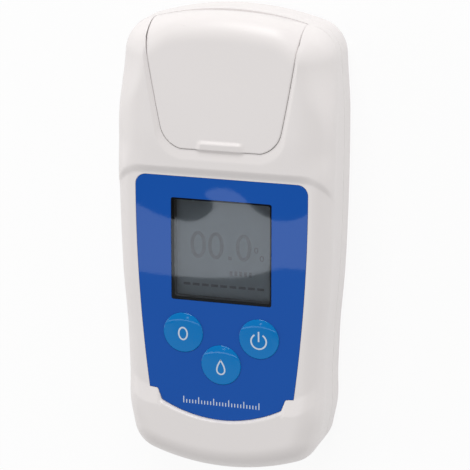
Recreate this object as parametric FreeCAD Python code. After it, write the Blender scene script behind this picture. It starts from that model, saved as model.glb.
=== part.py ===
import FreeCAD, Part
import math
import os
from FreeCAD import Vector

# Hand-held digital refractometer lying on its back, in millimetres.
# X is to the right of the face, Y is towards the lid end, Z is up out of the face.
# The origin is under the middle of the case, on the plane that the back rests on.

# Overall size of the case and the radii of its outline
LENGTH = 122.0
WIDTH = 58.0
FACE_Z = 24.4
LIP_TOP_Z = 25.0
TOP_END_RADIUS = 74.0
BOTTOM_END_RADIUS = 58.0
SIDE_RADIUS = 800.0
WIDEST_Y = 28.0
TOP_CORNER_RADIUS = 9.0
BOTTOM_CORNER_RADIUS = 8.0
MIN_CORNER_RADIUS = 1.5
BACK_EDGE_RADIUS = 4.6
END_ROUNDING = 6.7
CROWN_RADIUS = 16.0
CROWN_WIDTH = 10.2
BACK_ARCH_HEIGHT = 1.8
BACK_ARCH_TOP_INSET = 37.0
BACK_ARCH_BOTTOM_INSET = 19.0

# Case shells
WALL = 2.4
SPLIT_Z = 10.0
GASKET_INSET = 1.0
GASKET_WIDTH = 0.8
GASKET_HEIGHT = 0.8
MARGIN = 1.0

# Lowered handle face, the step below the head and the bumper above the foot
FACE_STEP = 1.2
HANDLE_ROUNDING = 5.2
SHOULDER_BELOW_LID = 7.0
SHOULDER_SLOPE = 2.4
SHOULDER_ARC_X = 21.0
SHOULDER_END_FALL = 7.5
SHOULDER_RUN_UNDER = 8.0
SHOULDER_RUN_OVER = 0.2
EAR_INSET = 21.8
EAR_HEIGHT = 3.2
EAR_OUTER_X = 19.4
EAR_INNER_X = 17.9
EAR_FOOT_X = 16.3
BUMPER_EDGE_INSET = 14.4
BUMPER_SLOPE = 3.9
BUMPER_END_INSET = 33.5
FLANK_X = 6.1
FLANK_Y = 3.7
# Shares of the bumper's slope by which its points move from foot to crest
SIDE_END_SHARE = 0.6
FLANK_X_SHARE = 0.35
FLANK_Y_SHARE = 0.75
EAR_X_SHARE = 0.05
INNER_X_SHARE = 0.1
INNER_Y_SHARE = 1.02
FOOT_Y_SHARE = 0.2

# Printed label film and what shows through it
FILM = 0.3
LABEL_BELOW_SHOULDER = 0.5
LABEL_TOP_X = 23.05
LABEL_MID_X = 22.2
LABEL_BOTTOM_X = 19.6
LABEL_CORNER = 2.8
LABEL_EAR_CORNER = 0.5
LABEL_CLEARANCE = 0.08
WINDOW_X = 27.05
LABEL_ABOVE_WINDOW = 5.655
LABEL_BELOW_WINDOW = 32.095
WINDOW_CORNER = 0.6
WINDOW_THICKNESS = 1.0
WINDOW_LEDGE = 2.0
FRONT_WALL = 2.2
FRAME_RIM = 1.1
FRAME_SPREAD = 0.5
FRAME_HEIGHT = 2.2
GLASS_THICKNESS = 1.8
GLASS_X_LEDGE = 2.225
GLASS_Y_LEDGE = 2.075
GLASS_CORNER = 0.5
BACKLIGHT_RIM = 0.4
BACKLIGHT_CORNER = 1.0
FIT = 0.05

# Keys and their switches
KEY_DIAMETER = 10.75
KEY_CLEARANCE = 0.1
KEY_FLANGE = 0.7
KEY_FLANGE_HEIGHT = 0.9
KEY_CROWN = 0.45
KEY_TRAVEL = 0.4
KEY_PROUD = 0.15
KEY_FLANGE_GAP = 0.3
KEY_ROW_INSET = 23.2
KEY_PITCH = 20.56
MEASURE_KEY_INSET = 15.2
SWITCH_SIZE = 6.0
SWITCH_SPARE = 0.15
PLUNGER_DIAMETER = 3.4
PLUNGER_DEPTH = 0.6
PLUNGER_CLEARANCE = 0.1
PLUNGER_SPARE = 0.2

# Circuit board
BOARD_THICKNESS = 1.6
BOARD_TOP_Z = 16.2
BOARD_HALF_X = 21.0
BOARD_TOP_INSET = 7.0
BOARD_BOTTOM_INSET = 5.5
BOARD_CORNER = 3.0
BOARD_POST_DIAMETER = 4.2
BOARD_POST_X = 18.6
BOARD_POST_TOP_INSET = 3.0
BOARD_POST_BOTTOM_INSET = 5.0
BOARD_SCREW_DIAMETER = 1.7
BOARD_SCREW_HEAD = 3.4
BOARD_SCREW_HEAD_HEIGHT = 1.0
BOARD_SCREW_GRIP = 3.2
BOARD_SCREW_SPARE = 0.2
POST_ROOT = 0.5
CHIP_X = 8.0
CHIP_Y = 6.0
CHIP_HEIGHT = 1.2
CHIP_INSET = 4.0
SMALL_CHIP_X = 5.0
SMALL_CHIP_Y = 4.0
SMALL_CHIP_PLACE_X = 10.0
SIDE_CHIP_X = 3.0
SIDE_CHIP_Y = 8.0
SIDE_CHIP_ABOVE_WINDOW = 4.83

# Case screws
SCREW_DIAMETER = 2.2
SCREW_HEAD_DIAMETER = 4.2
SCREW_HEAD_HEIGHT = 1.5
SCREW_HEAD_DEPTH = 2.0
SCREW_LENGTH = 14.0
SCREW_SPARE = 0.3
SCREW_CLEARANCE = 0.2
SCREW_HEAD_CLEARANCE = 0.3
SCREW_SLOT_LENGTH = 3.0
SCREW_SLOT_WIDTH = 0.5
SCREW_SLOT_DEPTH = 0.6
BOSS_DIAMETER = 5.4
SCREW_TOP_X = 23.2
SCREW_TOP_INSET = 30.0
SCREW_BOTTOM_X = 19.6
SCREW_BOTTOM_INSET = 13.5

# Lid over the sample well, and its hinge
LID_DROP = 0.4
LID_LENGTH = 35.0
LID_GAP = 0.25
LID_ROOF = 2.0
LID_SKIRT = 1.5
LID_SKIRT_GAP = 0.3
LID_END_X = 20.1
LID_END_FLARE = 0.3
LID_RUN_OUT = 4.0
LID_CORNER_SHARE = 0.53
LID_SIDE_SHARE = 0.8
LID_WAIST_SHARE = 0.885
LID_CORNER_RISE = 5.7
LID_WAIST_RISE = 14.5
LID_CORNER_MID_X = 3.5
LID_CORNER_MID_Y = 2.0
CORNER_GROW_SHARE = 0.7
CORNER_FALL_SHARE = 0.3
DISH_DEPTH = 0.7
DISH_SIDE = 1.3
DISH_BOTTOM = 4.0
DISH_RUN_OVER = 0.4
LIP_TOP_X = 5.2
LIP_FOOT_X = 7.0
LIP_TOP_INSET = 0.4
LIP_TOP_LENGTH = 1.7
LIP_FOOT_LENGTH = 3.3
LIP_ROOT = 0.5
HINGE_INSET = 6.7
HINGE_Z = 17.3
HINGE_BARREL_RADIUS = 6.75
HINGE_BARREL_END_RADIUS = 4.8
HINGE_CLEARANCE = 0.25
HINGE_SEAM_Z = 13.7
PIN_DIAMETER = 2.5
PIN_CLEARANCE = 0.05
BARREL_WALL = 1.8
PIN_WALL = 1.4
RELIEF_SHARE = 0.55
RELIEF_RUN = 2.0
RELIEF_DROP = 0.5
TROUGH_GAP = 0.2

# Sample well deck, stage and optics under it
DECK_Z = 18.8
DECK_THICKNESS = 2.0
WELL_WALL = 1.4
STAGE_INSET = 23.4
STAGE_X_SIZE = 25.0
STAGE_Y_SIZE = 16.4
STAGE_CORNER = 5.0
STAGE_RIM = 0.6
STAGE_LEDGE = 1.3
STAGE_DEPTH = 3.0
WELL_TOP_DIAMETER = 14.5
WELL_BOTTOM_DIAMETER = 7.0
WELL_DEPTH = 2.5
LINER_THICKNESS = 2.0
LINER_INSET = 0.6
LINER_HOLE_CLEARANCE = 0.25
SEAL_RECESS = 0.1
PRISM_TOP_DIAMETER = 6.0
PRISM_X = 8.0
PRISM_TOP_Y = 6.8
PRISM_BASE_Y = 11.6
PRISM_HEIGHT = 6.3
BLOCK_HALF_X = 13.0
BLOCK_BELOW_STAGE = 9.6
BLOCK_ABOVE_STAGE = 7.6
BLOCK_FOOT_Z = 5.0
REST_INSET = 2.0
REST_WIDTH = 2.4
LED_DIAMETER = 5.0
LED_LENGTH = 5.4
LED_RIM = 0.4
OPTIC_GAP = 0.2
LENS_THICKNESS = 1.4
OPTIC_AXIS_Z = 12.2
SENSOR_X = 13.0
SENSOR_Z = 3.4
SENSOR_DEPTH = 1.6
SENSOR_BOARD_X = 22.0
SENSOR_BOARD_Z = 8.0
SENSOR_BOARD_THICKNESS = 1.2
PROBE_DIAMETER = 2.4
PROBE_LENGTH = 6.0
PROBE_X = 8.6

# Battery, its contacts and its sliding door
CELL_DIAMETER = 10.5
CELL_LENGTH = 43.3
CELL_NUB_DIAMETER = 3.8
CELL_NUB_HEIGHT = 1.2
CELL_TOP_INSET = 67.4
CELL_CLEARANCE = 0.35
TUB_WALL = 1.3
TUB_TOP_Z = 12.6
SPRING_WIRE = 0.8
SPRING_LENGTH = 2.8
SPRING_RADIUS = 2.8
SPRING_TURNS = 1.5
SPRING_SIDES = 6
CONTACT_THICKNESS = 0.5
CONTACT_HALF_X = 4.2
CONTACT_BELOW = 4.2
CONTACT_ABOVE = 3.6
DOOR_HALF_X = 9.0
DOOR_ABOVE_CELL = 3.2
DOOR_INNER_Z = 3.4
DOOR_CLEARANCE = 0.12
DOOR_TRAVEL = 9.0
DOOR_LEDGE = 1.6
TONGUE_WIDTH = 1.0
TONGUE_HEIGHT = 0.8
TONGUE_LENGTH = 6.0
TONGUE_PITCH = 18.0
TONGUE_COUNT = 3
TONGUE_TOP_INSET = 7.6
GRIP_WIDTH = 12.0
GRIP_COUNT = 4
GRIP_PITCH = 2.0
GRIP_TOP_INSET = 6.0
GRIP_DEPTH = 0.5

# Levels and places that follow from the sizes above
TOP_Y = LENGTH / 2
BOTTOM_Y = -LENGTH / 2
BACK_ARCH_TOP_Y = TOP_Y - BACK_ARCH_TOP_INSET
BACK_ARCH_BOTTOM_Y = BOTTOM_Y + BACK_ARCH_BOTTOM_INSET
LID_BOTTOM_Y = TOP_Y - LID_LENGTH
HINGE_Y = TOP_Y - HINGE_INSET
STAGE_Y = TOP_Y - STAGE_INSET
BLOCK_BOTTOM_Y = STAGE_Y - BLOCK_BELOW_STAGE
BLOCK_TOP_Y = STAGE_Y + BLOCK_ABOVE_STAGE
SCREW_TOP_Y = TOP_Y - SCREW_TOP_INSET
SCREW_BOTTOM_Y = BOTTOM_Y + SCREW_BOTTOM_INSET
SHOULDER_FOOT_Y = LID_BOTTOM_Y - SHOULDER_BELOW_LID
SHOULDER_END_Y = SHOULDER_FOOT_Y - SHOULDER_END_FALL
EAR_TOP_Y = BOTTOM_Y + EAR_INSET
EAR_FOOT_Y = EAR_TOP_Y - EAR_HEIGHT
BUMPER_EDGE_Y = BOTTOM_Y + BUMPER_EDGE_INSET
BUMPER_END_Y = BOTTOM_Y + BUMPER_END_INSET
LABEL_TOP_Y = SHOULDER_FOOT_Y - LABEL_BELOW_SHOULDER
WINDOW_Y = LABEL_TOP_Y - BUMPER_EDGE_Y - LABEL_ABOVE_WINDOW - LABEL_BELOW_WINDOW
WINDOW_MID_Y = LABEL_TOP_Y - LABEL_ABOVE_WINDOW - WINDOW_Y / 2
GLASS_X = WINDOW_X + 2 * GLASS_X_LEDGE
GLASS_Y = WINDOW_Y + 2 * GLASS_Y_LEDGE
KEY_ROW_Y = BUMPER_EDGE_Y + KEY_ROW_INSET
MEASURE_KEY_Y = BUMPER_EDGE_Y + MEASURE_KEY_INSET
BOARD_TOP_Y = SCREW_TOP_Y - BOARD_TOP_INSET
BOARD_BOTTOM_Y = SCREW_BOTTOM_Y + BOARD_BOTTOM_INSET
BOARD_POST_TOP_Y = BOARD_TOP_Y - BOARD_POST_TOP_INSET
BOARD_POST_BOTTOM_Y = BOARD_BOTTOM_Y + BOARD_POST_BOTTOM_INSET
CELL_TOP_Y = BOTTOM_Y + CELL_TOP_INSET
DOOR_TOP_Y = CELL_TOP_Y + DOOR_ABOVE_CELL
TONGUE_TOP_Y = DOOR_TOP_Y - TONGUE_TOP_INSET
LABEL_Z = FACE_Z - FACE_STEP
RECESS_Z = LABEL_Z - FILM
INNER_Z = RECESS_Z - FRONT_WALL
LID_Z = FACE_Z - LID_DROP
SEAM_Z = FACE_Z - DISH_DEPTH
LID_UNDER_Z = LID_Z - LID_ROOF
SKIRT_Z = DECK_Z + LID_SKIRT_GAP
BOARD_BOTTOM_Z = BOARD_TOP_Z - BOARD_THICKNESS
STAGE_TOP_Z = DECK_Z + STAGE_RIM
STAGE_FOOT_Z = DECK_Z - STAGE_DEPTH
WELL_BOTTOM_Z = STAGE_TOP_Z - WELL_DEPTH
LEDGE_Z = DOOR_INNER_Z + DOOR_CLEARANCE
CELL_Z = LEDGE_Z + CELL_DIAMETER / 2
REACH = LENGTH
LID_END_HALF = LID_END_X + LID_END_FLARE
TROUGH_HALF = LID_END_HALF + LID_GAP


def box(x0, y0, z0, x1, y1, z1):
    """Block between two corners."""
    return Part.makeBox(x1 - x0, y1 - y0, z1 - z0, Vector(x0, y0, z0))


def rod(diameter, z0, z1, x, y):
    """Upright round bar."""
    return Part.makeCylinder(diameter / 2, z1 - z0, Vector(x, y, z0))


def rod_y(diameter, y0, y1, x, z):
    """Round bar along Y."""
    return Part.makeCylinder(diameter / 2, y1 - y0, Vector(x, y0, z), Vector(0, 1, 0))


def rounded_plate(size_x, size_y, corner, z0, z1, x, y):
    """Rectangular plate with round corners."""
    plate = box(x - size_x / 2, y - size_y / 2, z0, x + size_x / 2, y + size_y / 2, z1)
    upright = [e for e in plate.Edges if abs(e.Vertexes[0].Z - e.Vertexes[-1].Z) > 1e-6]
    return plate.makeFillet(corner, upright)


def arc(p, q, r):
    """Edge through three points."""
    return Part.Arc(Vector(*p), Vector(*q), Vector(*r)).toShape()


def line(p, q):
    """Straight edge."""
    return Part.makeLine(Vector(*p), Vector(*q))


def loft(wires):
    """Solid with straight sides through a stack of wires."""
    return Part.makeLoft(wires, True, True)


def pillar(wire, z0, z1):
    """A flat wire drawn at z0, carried straight up to z1."""
    return Part.Face(wire).extrude(Vector(0, 0, z1 - z0))


def on_arc(centre, radius, towards):
    """Point of a circle in the direction of another point."""
    dx, dy = towards[0] - centre[0], towards[1] - centre[1]
    far = math.hypot(dx, dy)
    return centre[0] + radius * dx / far, centre[1] + radius * dy / far


def corner_centre(end_centre, end_radius, side_centre, side_radius, upper):
    """Centre of the corner arc that touches an end arc and the right side arc inside."""
    gap = math.hypot(side_centre[0] - end_centre[0], side_centre[1] - end_centre[1])
    along = (end_radius ** 2 - side_radius ** 2 + gap ** 2) / (2 * gap)
    across = math.sqrt(end_radius ** 2 - along ** 2)
    ux = (side_centre[0] - end_centre[0]) / gap
    uy = (side_centre[1] - end_centre[1]) / gap
    spots = [(end_centre[0] + along * ux - s * across * uy, end_centre[1] + along * uy + s * across * ux)
             for s in (1, -1)]
    spots.sort(key=lambda spot: spot[1])
    return spots[1] if upper else spots[0]


def case_outline(z, inset):
    """Closed plan outline of the case in eight arcs, drawn in all round."""
    top_centre = (0, TOP_Y - TOP_END_RADIUS)
    bottom_centre = (0, BOTTOM_Y + BOTTOM_END_RADIUS)
    side_centre = (WIDTH / 2 - SIDE_RADIUS, WIDEST_Y)
    top_radius, bottom_radius = TOP_END_RADIUS - inset, BOTTOM_END_RADIUS - inset
    side_radius = SIDE_RADIUS - inset
    upper = max(TOP_CORNER_RADIUS - inset, MIN_CORNER_RADIUS)
    lower = max(BOTTOM_CORNER_RADIUS - inset, MIN_CORNER_RADIUS)
    high = corner_centre(top_centre, top_radius - upper, side_centre, side_radius - upper, True)
    low = corner_centre(bottom_centre, bottom_radius - lower, side_centre, side_radius - lower, False)
    a = on_arc(bottom_centre, bottom_radius, low)
    b = on_arc(side_centre, side_radius, low)
    c = on_arc(side_centre, side_radius, high)
    d = on_arc(top_centre, top_radius, high)
    low_mid = on_arc(low, lower, ((a[0] + b[0]) / 2, (a[1] + b[1]) / 2))
    high_mid = on_arc(high, upper, ((c[0] + d[0]) / 2, (c[1] + d[1]) / 2))
    side_mid = on_arc(side_centre, side_radius, ((b[0] + c[0]) / 2, (b[1] + c[1]) / 2))
    right = [(a, low_mid, b), (b, side_mid, c), (c, high_mid, d)]
    edges = [arc((-a[0], a[1], z), (0, BOTTOM_Y + inset, z), (a[0], a[1], z))]
    edges += [arc((*p, z), (*q, z), (*r, z)) for p, q, r in right]
    edges.append(arc((d[0], d[1], z), (0, TOP_Y - inset, z), (-d[0], d[1], z)))
    edges += [arc((-r[0], r[1], z), (-q[0], q[1], z), (-p[0], p[1], z)) for p, q, r in reversed(right)]
    return Part.Wire(edges)


def level_edges(shape, z):
    """Edges of a shape that lie in one level."""
    return [e for e in shape.Edges if all(abs(v.Z - z) < 1e-6 for v in e.Vertexes)]


def case_block(inset, z0, z1, back_radius, front_radius):
    """Upright block on the case outline with its back and front edges rounded."""
    block = pillar(case_outline(z0, inset), z0, z1)
    block = block.makeFillet(front_radius, level_edges(block, z1))
    return block.makeFillet(back_radius, level_edges(block, z0))


def crown_prism(face):
    """Long bar whose top is flat in the middle and falls away in two arcs to the sides."""
    flat, beyond = WIDTH / 2 - CROWN_WIDTH, WIDTH / 2 + MARGIN
    reach = beyond - flat
    fall = CROWN_RADIUS - math.sqrt(CROWN_RADIUS ** 2 - reach ** 2)
    half = reach / 2
    half_fall = CROWN_RADIUS - math.sqrt(CROWN_RADIUS ** 2 - half ** 2)
    y = BOTTOM_Y - MARGIN
    wire = Part.Wire([
        line((-flat, y, face), (flat, y, face)),
        arc((flat, y, face), (flat + half, y, face - half_fall), (beyond, y, face - fall)),
        line((beyond, y, face - fall), (beyond, y, -MARGIN)),
        line((beyond, y, -MARGIN), (-beyond, y, -MARGIN)),
        line((-beyond, y, -MARGIN), (-beyond, y, face - fall)),
        arc((-beyond, y, face - fall), (-flat - half, y, face - half_fall), (-flat, y, face)),
    ])
    return Part.Face(wire).extrude(Vector(0, LENGTH + 2 * MARGIN, 0))


def head_skin(drop=0.0):
    """Outer form of the case with the crowned face of the head and foot."""
    face = FACE_Z - drop
    return case_block(0.0, 0.0, face, BACK_EDGE_RADIUS, END_ROUNDING).common(crown_prism(face))


def handle_skin():
    """Outer form of the case with the lower, flatter face of the handle."""
    return case_block(0.0, 0.0, LABEL_Z, BACK_EDGE_RADIUS, HANDLE_ROUNDING)


def case_hollow():
    """The space inside the case walls."""
    return case_block(WALL, WALL, INNER_Z, BACK_EDGE_RADIUS - WALL, HANDLE_ROUNDING - WALL)


def mirrored(edges_right):
    """Right-hand edges given as point tuples, joined to their mirror images in one wire."""
    edges = []
    for points in edges_right:
        edges.append(arc(*points) if len(points) == 3 else line(*points))
    for points in reversed(edges_right):
        flipped = [(-p[0], p[1], p[2]) for p in reversed(points)]
        edges.append(arc(*flipped) if len(flipped) == 3 else line(*flipped))
    return Part.Wire(edges)


def handle_outline(z, slope):
    """Plan outline of the lowered handle face; slope 0 is its foot and 1 its upper edge."""
    shoulder = SHOULDER_FOOT_Y + slope * SHOULDER_SLOPE
    end_y = SHOULDER_END_Y + slope * SHOULDER_SLOPE
    beyond = WIDTH / 2 + MARGIN
    turn = math.sqrt(0.5)
    arc_mid = (SHOULDER_ARC_X + turn * (beyond - SHOULDER_ARC_X), end_y + turn * (shoulder - end_y))
    low = slope * BUMPER_SLOPE
    side_y = BUMPER_END_Y - SIDE_END_SHARE * low
    flank = (EAR_OUTER_X + FLANK_X + FLANK_X_SHARE * low, EAR_TOP_Y + FLANK_Y - FLANK_Y_SHARE * low)
    ear = (EAR_OUTER_X + EAR_X_SHARE * low, EAR_TOP_Y - low)
    inner = (EAR_INNER_X - INNER_X_SHARE * low, EAR_TOP_Y - INNER_Y_SHARE * low)
    foot = (EAR_FOOT_X - EAR_X_SHARE * low, EAR_FOOT_Y - FOOT_Y_SHARE * low)
    return mirrored([
        ((0, shoulder, z), (SHOULDER_ARC_X, shoulder, z)),
        ((SHOULDER_ARC_X, shoulder, z), (*arc_mid, z), (beyond, end_y, z)),
        ((beyond, end_y, z), (beyond, side_y, z)),
        ((beyond, side_y, z), (*flank, z), (*ear, z)),
        ((*ear, z), (*inner, z)),
        ((*inner, z), (*foot, z)),
        ((*foot, z), (foot[0] / 2, (foot[1] + 3 * BUMPER_EDGE_Y) / 4, z), (0, BUMPER_EDGE_Y - INNER_X_SHARE * low, z)),
    ])


def label_outline(z, inset=0.0):
    """Plan outline of the printed label."""
    top, x, r = LABEL_TOP_Y - inset, LABEL_TOP_X - inset, LABEL_CORNER
    bottom_x, ear_y = LABEL_BOTTOM_X - inset, EAR_TOP_Y + inset
    k = r * (1 - math.sqrt(0.5))
    mid_y = (top - r + ear_y) / 2
    inner, foot = EAR_INNER_X - inset, EAR_FOOT_X - inset
    foot_y = EAR_FOOT_Y + inset
    return mirrored([
        ((0, top, z), (x - r, top, z)),
        ((x - r, top, z), (x - k, top - k, z), (x, top - r, z)),
        ((x, top - r, z), (LABEL_MID_X - inset, mid_y, z), (bottom_x, ear_y + LABEL_EAR_CORNER, z)),
        ((bottom_x, ear_y + LABEL_EAR_CORNER, z), (inner, ear_y, z)),
        ((inner, ear_y, z), (foot, foot_y, z)),
        ((foot, foot_y, z), (foot / 2, (foot_y + 3 * BUMPER_EDGE_Y) / 4 + inset, z),
         (0, BUMPER_EDGE_Y + inset, z)),
    ])


def lid_outline(z, grow=0.0, grow_bottom=None):
    """Plan outline of the lid's seam, run out past the end of the case."""
    low = grow if grow_bottom is None else grow_bottom
    bottom, run_out = LID_BOTTOM_Y - low, TOP_Y + LID_RUN_OUT
    corner = (LID_CORNER_SHARE * LID_END_X, bottom, z)
    corner_mid = (corner[0] + LID_CORNER_MID_X + CORNER_GROW_SHARE * grow,
                  bottom + LID_CORNER_MID_Y + CORNER_FALL_SHARE * (low - grow), z)
    side = (LID_SIDE_SHARE * LID_END_X + grow, LID_BOTTOM_Y + LID_CORNER_RISE - CORNER_FALL_SHARE * low, z)
    waist = (LID_WAIST_SHARE * LID_END_X + grow, LID_BOTTOM_Y + LID_WAIST_RISE, z)
    end = (LID_END_X + grow, HINGE_Y, z)
    beyond = (LID_END_HALF + grow, run_out, z)
    return mirrored([
        ((0, bottom, z), corner),
        (corner, corner_mid, side),
        (side, waist, end),
        (end, beyond),
        (beyond, (0, run_out, z)),
    ])


def hinge_rod(radius, half_width):
    """Round bar on the hinge axis."""
    return Part.makeCylinder(radius, 2 * half_width, Vector(-half_width, HINGE_Y, HINGE_Z), Vector(1, 0, 0))


def hinge_barrel(grow, half_width):
    """Barrel about the hinge pin, fuller in the middle, as the end of the case is."""
    middle, end = HINGE_BARREL_RADIUS + grow, HINGE_BARREL_END_RADIUS + grow
    z = HINGE_Z
    face = Part.Face(Part.Wire([
        line((-half_width, HINGE_Y, z), (half_width, HINGE_Y, z)),
        line((half_width, HINGE_Y, z), (half_width, HINGE_Y + end, z)),
        arc((half_width, HINGE_Y + end, z), (0, HINGE_Y + middle, z), (-half_width, HINGE_Y + end, z)),
        line((-half_width, HINGE_Y + end, z), (-half_width, HINGE_Y, z)),
    ]))
    return face.revolve(Vector(0, HINGE_Y, HINGE_Z), Vector(1, 0, 0), 360)


def case_form():
    """The case as one closed form, with its lowered handle face and its arched back."""
    handle = loft([handle_outline(FACE_Z - SHOULDER_RUN_UNDER, 0.0), handle_outline(LABEL_Z, 0.0),
                   handle_outline(FACE_Z + SHOULDER_RUN_OVER, 1.0 + SHOULDER_RUN_OVER / FACE_STEP)])
    form = head_skin().cut(handle.cut(handle_skin()))
    middle = (BACK_ARCH_TOP_Y + BACK_ARCH_BOTTOM_Y) / 2
    arch = Part.Face(Part.Wire([
        arc((-WIDTH, BACK_ARCH_BOTTOM_Y, 0), (-WIDTH, middle, BACK_ARCH_HEIGHT), (-WIDTH, BACK_ARCH_TOP_Y, 0)),
        line((-WIDTH, BACK_ARCH_TOP_Y, 0), (-WIDTH, BACK_ARCH_BOTTOM_Y, 0)),
    ])).extrude(Vector(2 * WIDTH, 0, 0))
    return form.cut(arch)


def screw_spots():
    """Places of the four case screws."""
    return [(s * x, y) for x, y in ((SCREW_TOP_X, SCREW_TOP_Y), (SCREW_BOTTOM_X, SCREW_BOTTOM_Y))
            for s in (1, -1)]


def board_spots():
    """Places of the four posts that carry the circuit board."""
    return [(s * BOARD_POST_X, y) for y in (BOARD_POST_TOP_Y, BOARD_POST_BOTTOM_Y) for s in (1, -1)]


def key_spots():
    """Places of the three keys by name."""
    return {"zero": (-KEY_PITCH / 2, KEY_ROW_Y), "power": (KEY_PITCH / 2, KEY_ROW_Y),
            "measure": (0.0, MEASURE_KEY_Y)}


def front_case(form, hollow):
    """Upper shell with the window, key holes, lid well, hinge trough, bosses and posts."""
    over, under = FACE_Z + MARGIN, INNER_Z - MARGIN
    shell = form.cut(hollow).common(box(-REACH, -REACH, SPLIT_Z, REACH, REACH, over))
    well_foot = DECK_Z - DECK_THICKNESS
    well = pillar(lid_outline(well_foot, LID_GAP + WELL_WALL), well_foot, FACE_Z)
    trough = hinge_barrel(HINGE_CLEARANCE + WELL_WALL, TROUGH_HALF + WELL_WALL)
    trough = trough.common(box(-REACH, 0, 0, REACH, REACH, DECK_Z))
    shell = shell.fuse(well.common(form)).fuse(trough.common(form))
    for x, y in screw_spots():
        shell = shell.fuse(rod(BOSS_DIAMETER, SPLIT_Z, INNER_Z + POST_ROOT, x, y))
    for x, y in board_spots():
        shell = shell.fuse(rod(BOARD_POST_DIAMETER, BOARD_TOP_Z, INNER_Z + POST_ROOT, x, y))
    opening = pillar(lid_outline(DECK_Z, LID_GAP), DECK_Z, over)
    dish = loft([lid_outline(SEAM_Z, LID_GAP), lid_outline(FACE_Z, DISH_SIDE, DISH_BOTTOM),
                 lid_outline(FACE_Z + DISH_RUN_OVER, DISH_SIDE, DISH_BOTTOM)])
    barrel = hinge_barrel(HINGE_CLEARANCE, TROUGH_HALF)
    end_gap = box(-TROUGH_HALF, HINGE_Y, HINGE_SEAM_Z, TROUGH_HALF, REACH, HINGE_Z)
    end_upper = pillar(lid_outline(HINGE_Z, LID_GAP), HINGE_Z, DECK_Z)
    end_upper = end_upper.common(box(-REACH, HINGE_Y, 0, REACH, REACH, REACH))
    for cutter in (opening, dish, barrel, end_gap, end_upper, hinge_pin()):
        shell = shell.cut(cutter)
    shell = shell.cut(rounded_plate(STAGE_X_SIZE - 2 * STAGE_LEDGE + 2 * FIT,
                                    STAGE_Y_SIZE - 2 * STAGE_LEDGE + 2 * FIT,
                                    STAGE_CORNER - STAGE_LEDGE, well_foot - MARGIN, over, 0, STAGE_Y))
    shell = shell.cut(pillar(label_outline(RECESS_Z, -LABEL_CLEARANCE), RECESS_Z, FACE_Z))
    pocket_x, pocket_y = WINDOW_X + 2 * WINDOW_LEDGE, WINDOW_Y + 2 * WINDOW_LEDGE
    shell = shell.cut(rounded_plate(pocket_x, pocket_y, WINDOW_CORNER + WINDOW_LEDGE,
                                    RECESS_Z - WINDOW_THICKNESS, FACE_Z, 0, WINDOW_MID_Y))
    shell = shell.cut(rounded_plate(WINDOW_X + 2 * FRAME_SPREAD, WINDOW_Y + 2 * FRAME_SPREAD, WINDOW_CORNER,
                                    under, FACE_Z, 0, WINDOW_MID_Y))
    for x, y in key_spots().values():
        shell = shell.cut(rod(KEY_DIAMETER + 2 * KEY_CLEARANCE, under, FACE_Z, x, y))
    for x, y in screw_spots():
        shell = shell.cut(rod(SCREW_DIAMETER, SPLIT_Z - MARGIN, SCREW_HEAD_DEPTH + SCREW_LENGTH, x, y))
    for x, y in board_spots():
        shell = shell.cut(rod(BOARD_SCREW_DIAMETER, BOARD_TOP_Z - MARGIN,
                              BOARD_TOP_Z + BOARD_SCREW_GRIP + BOARD_SCREW_SPARE, x, y))
    return shell


def door_plate(clearance):
    """Block that the door's plate takes out of the back of the case."""
    c = clearance
    return box(-DOOR_HALF_X - c, BOTTOM_Y - MARGIN, -MARGIN, DOOR_HALF_X + c, DOOR_TOP_Y + c, DOOR_INNER_Z + c)


def tongue_tops():
    """Upper ends of the door's tongues."""
    return [TONGUE_TOP_Y - i * TONGUE_PITCH for i in range(TONGUE_COUNT)]


def tongue_block(top, length, low, clearance):
    """Bar across the door that gives one pair of tongues, or the channel for it."""
    half = DOOR_HALF_X + TONGUE_WIDTH + clearance
    return box(-half, top - length, low, half, top, DOOR_INNER_Z + clearance)


def door_track():
    """What the door and its tongues need along their travel, with notches that let the tongues in."""
    c = DOOR_CLEARANCE
    track = door_plate(c)
    for top in tongue_tops():
        low = DOOR_INNER_Z - TONGUE_HEIGHT - c
        track = track.fuse(tongue_block(top + c, TONGUE_LENGTH + DOOR_TRAVEL + 2 * c, low, c))
        track = track.fuse(tongue_block(top - DOOR_TRAVEL + c, TONGUE_LENGTH + 2 * c, -MARGIN, c))
    return track


def battery_tub():
    """Outer block and inner space of the battery compartment."""
    half = CELL_DIAMETER / 2 + CELL_CLEARANCE
    top = CELL_TOP_Y + CELL_NUB_HEIGHT + CONTACT_THICKNESS
    bottom = CELL_TOP_Y - CELL_LENGTH - SPRING_LENGTH - CONTACT_THICKNESS
    outer = box(-half - TUB_WALL, bottom - TUB_WALL, WALL / 2, half + TUB_WALL, top + TUB_WALL, TUB_TOP_Z)
    return outer, box(-half, bottom, -MARGIN, half, top, TUB_TOP_Z + MARGIN)


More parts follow.
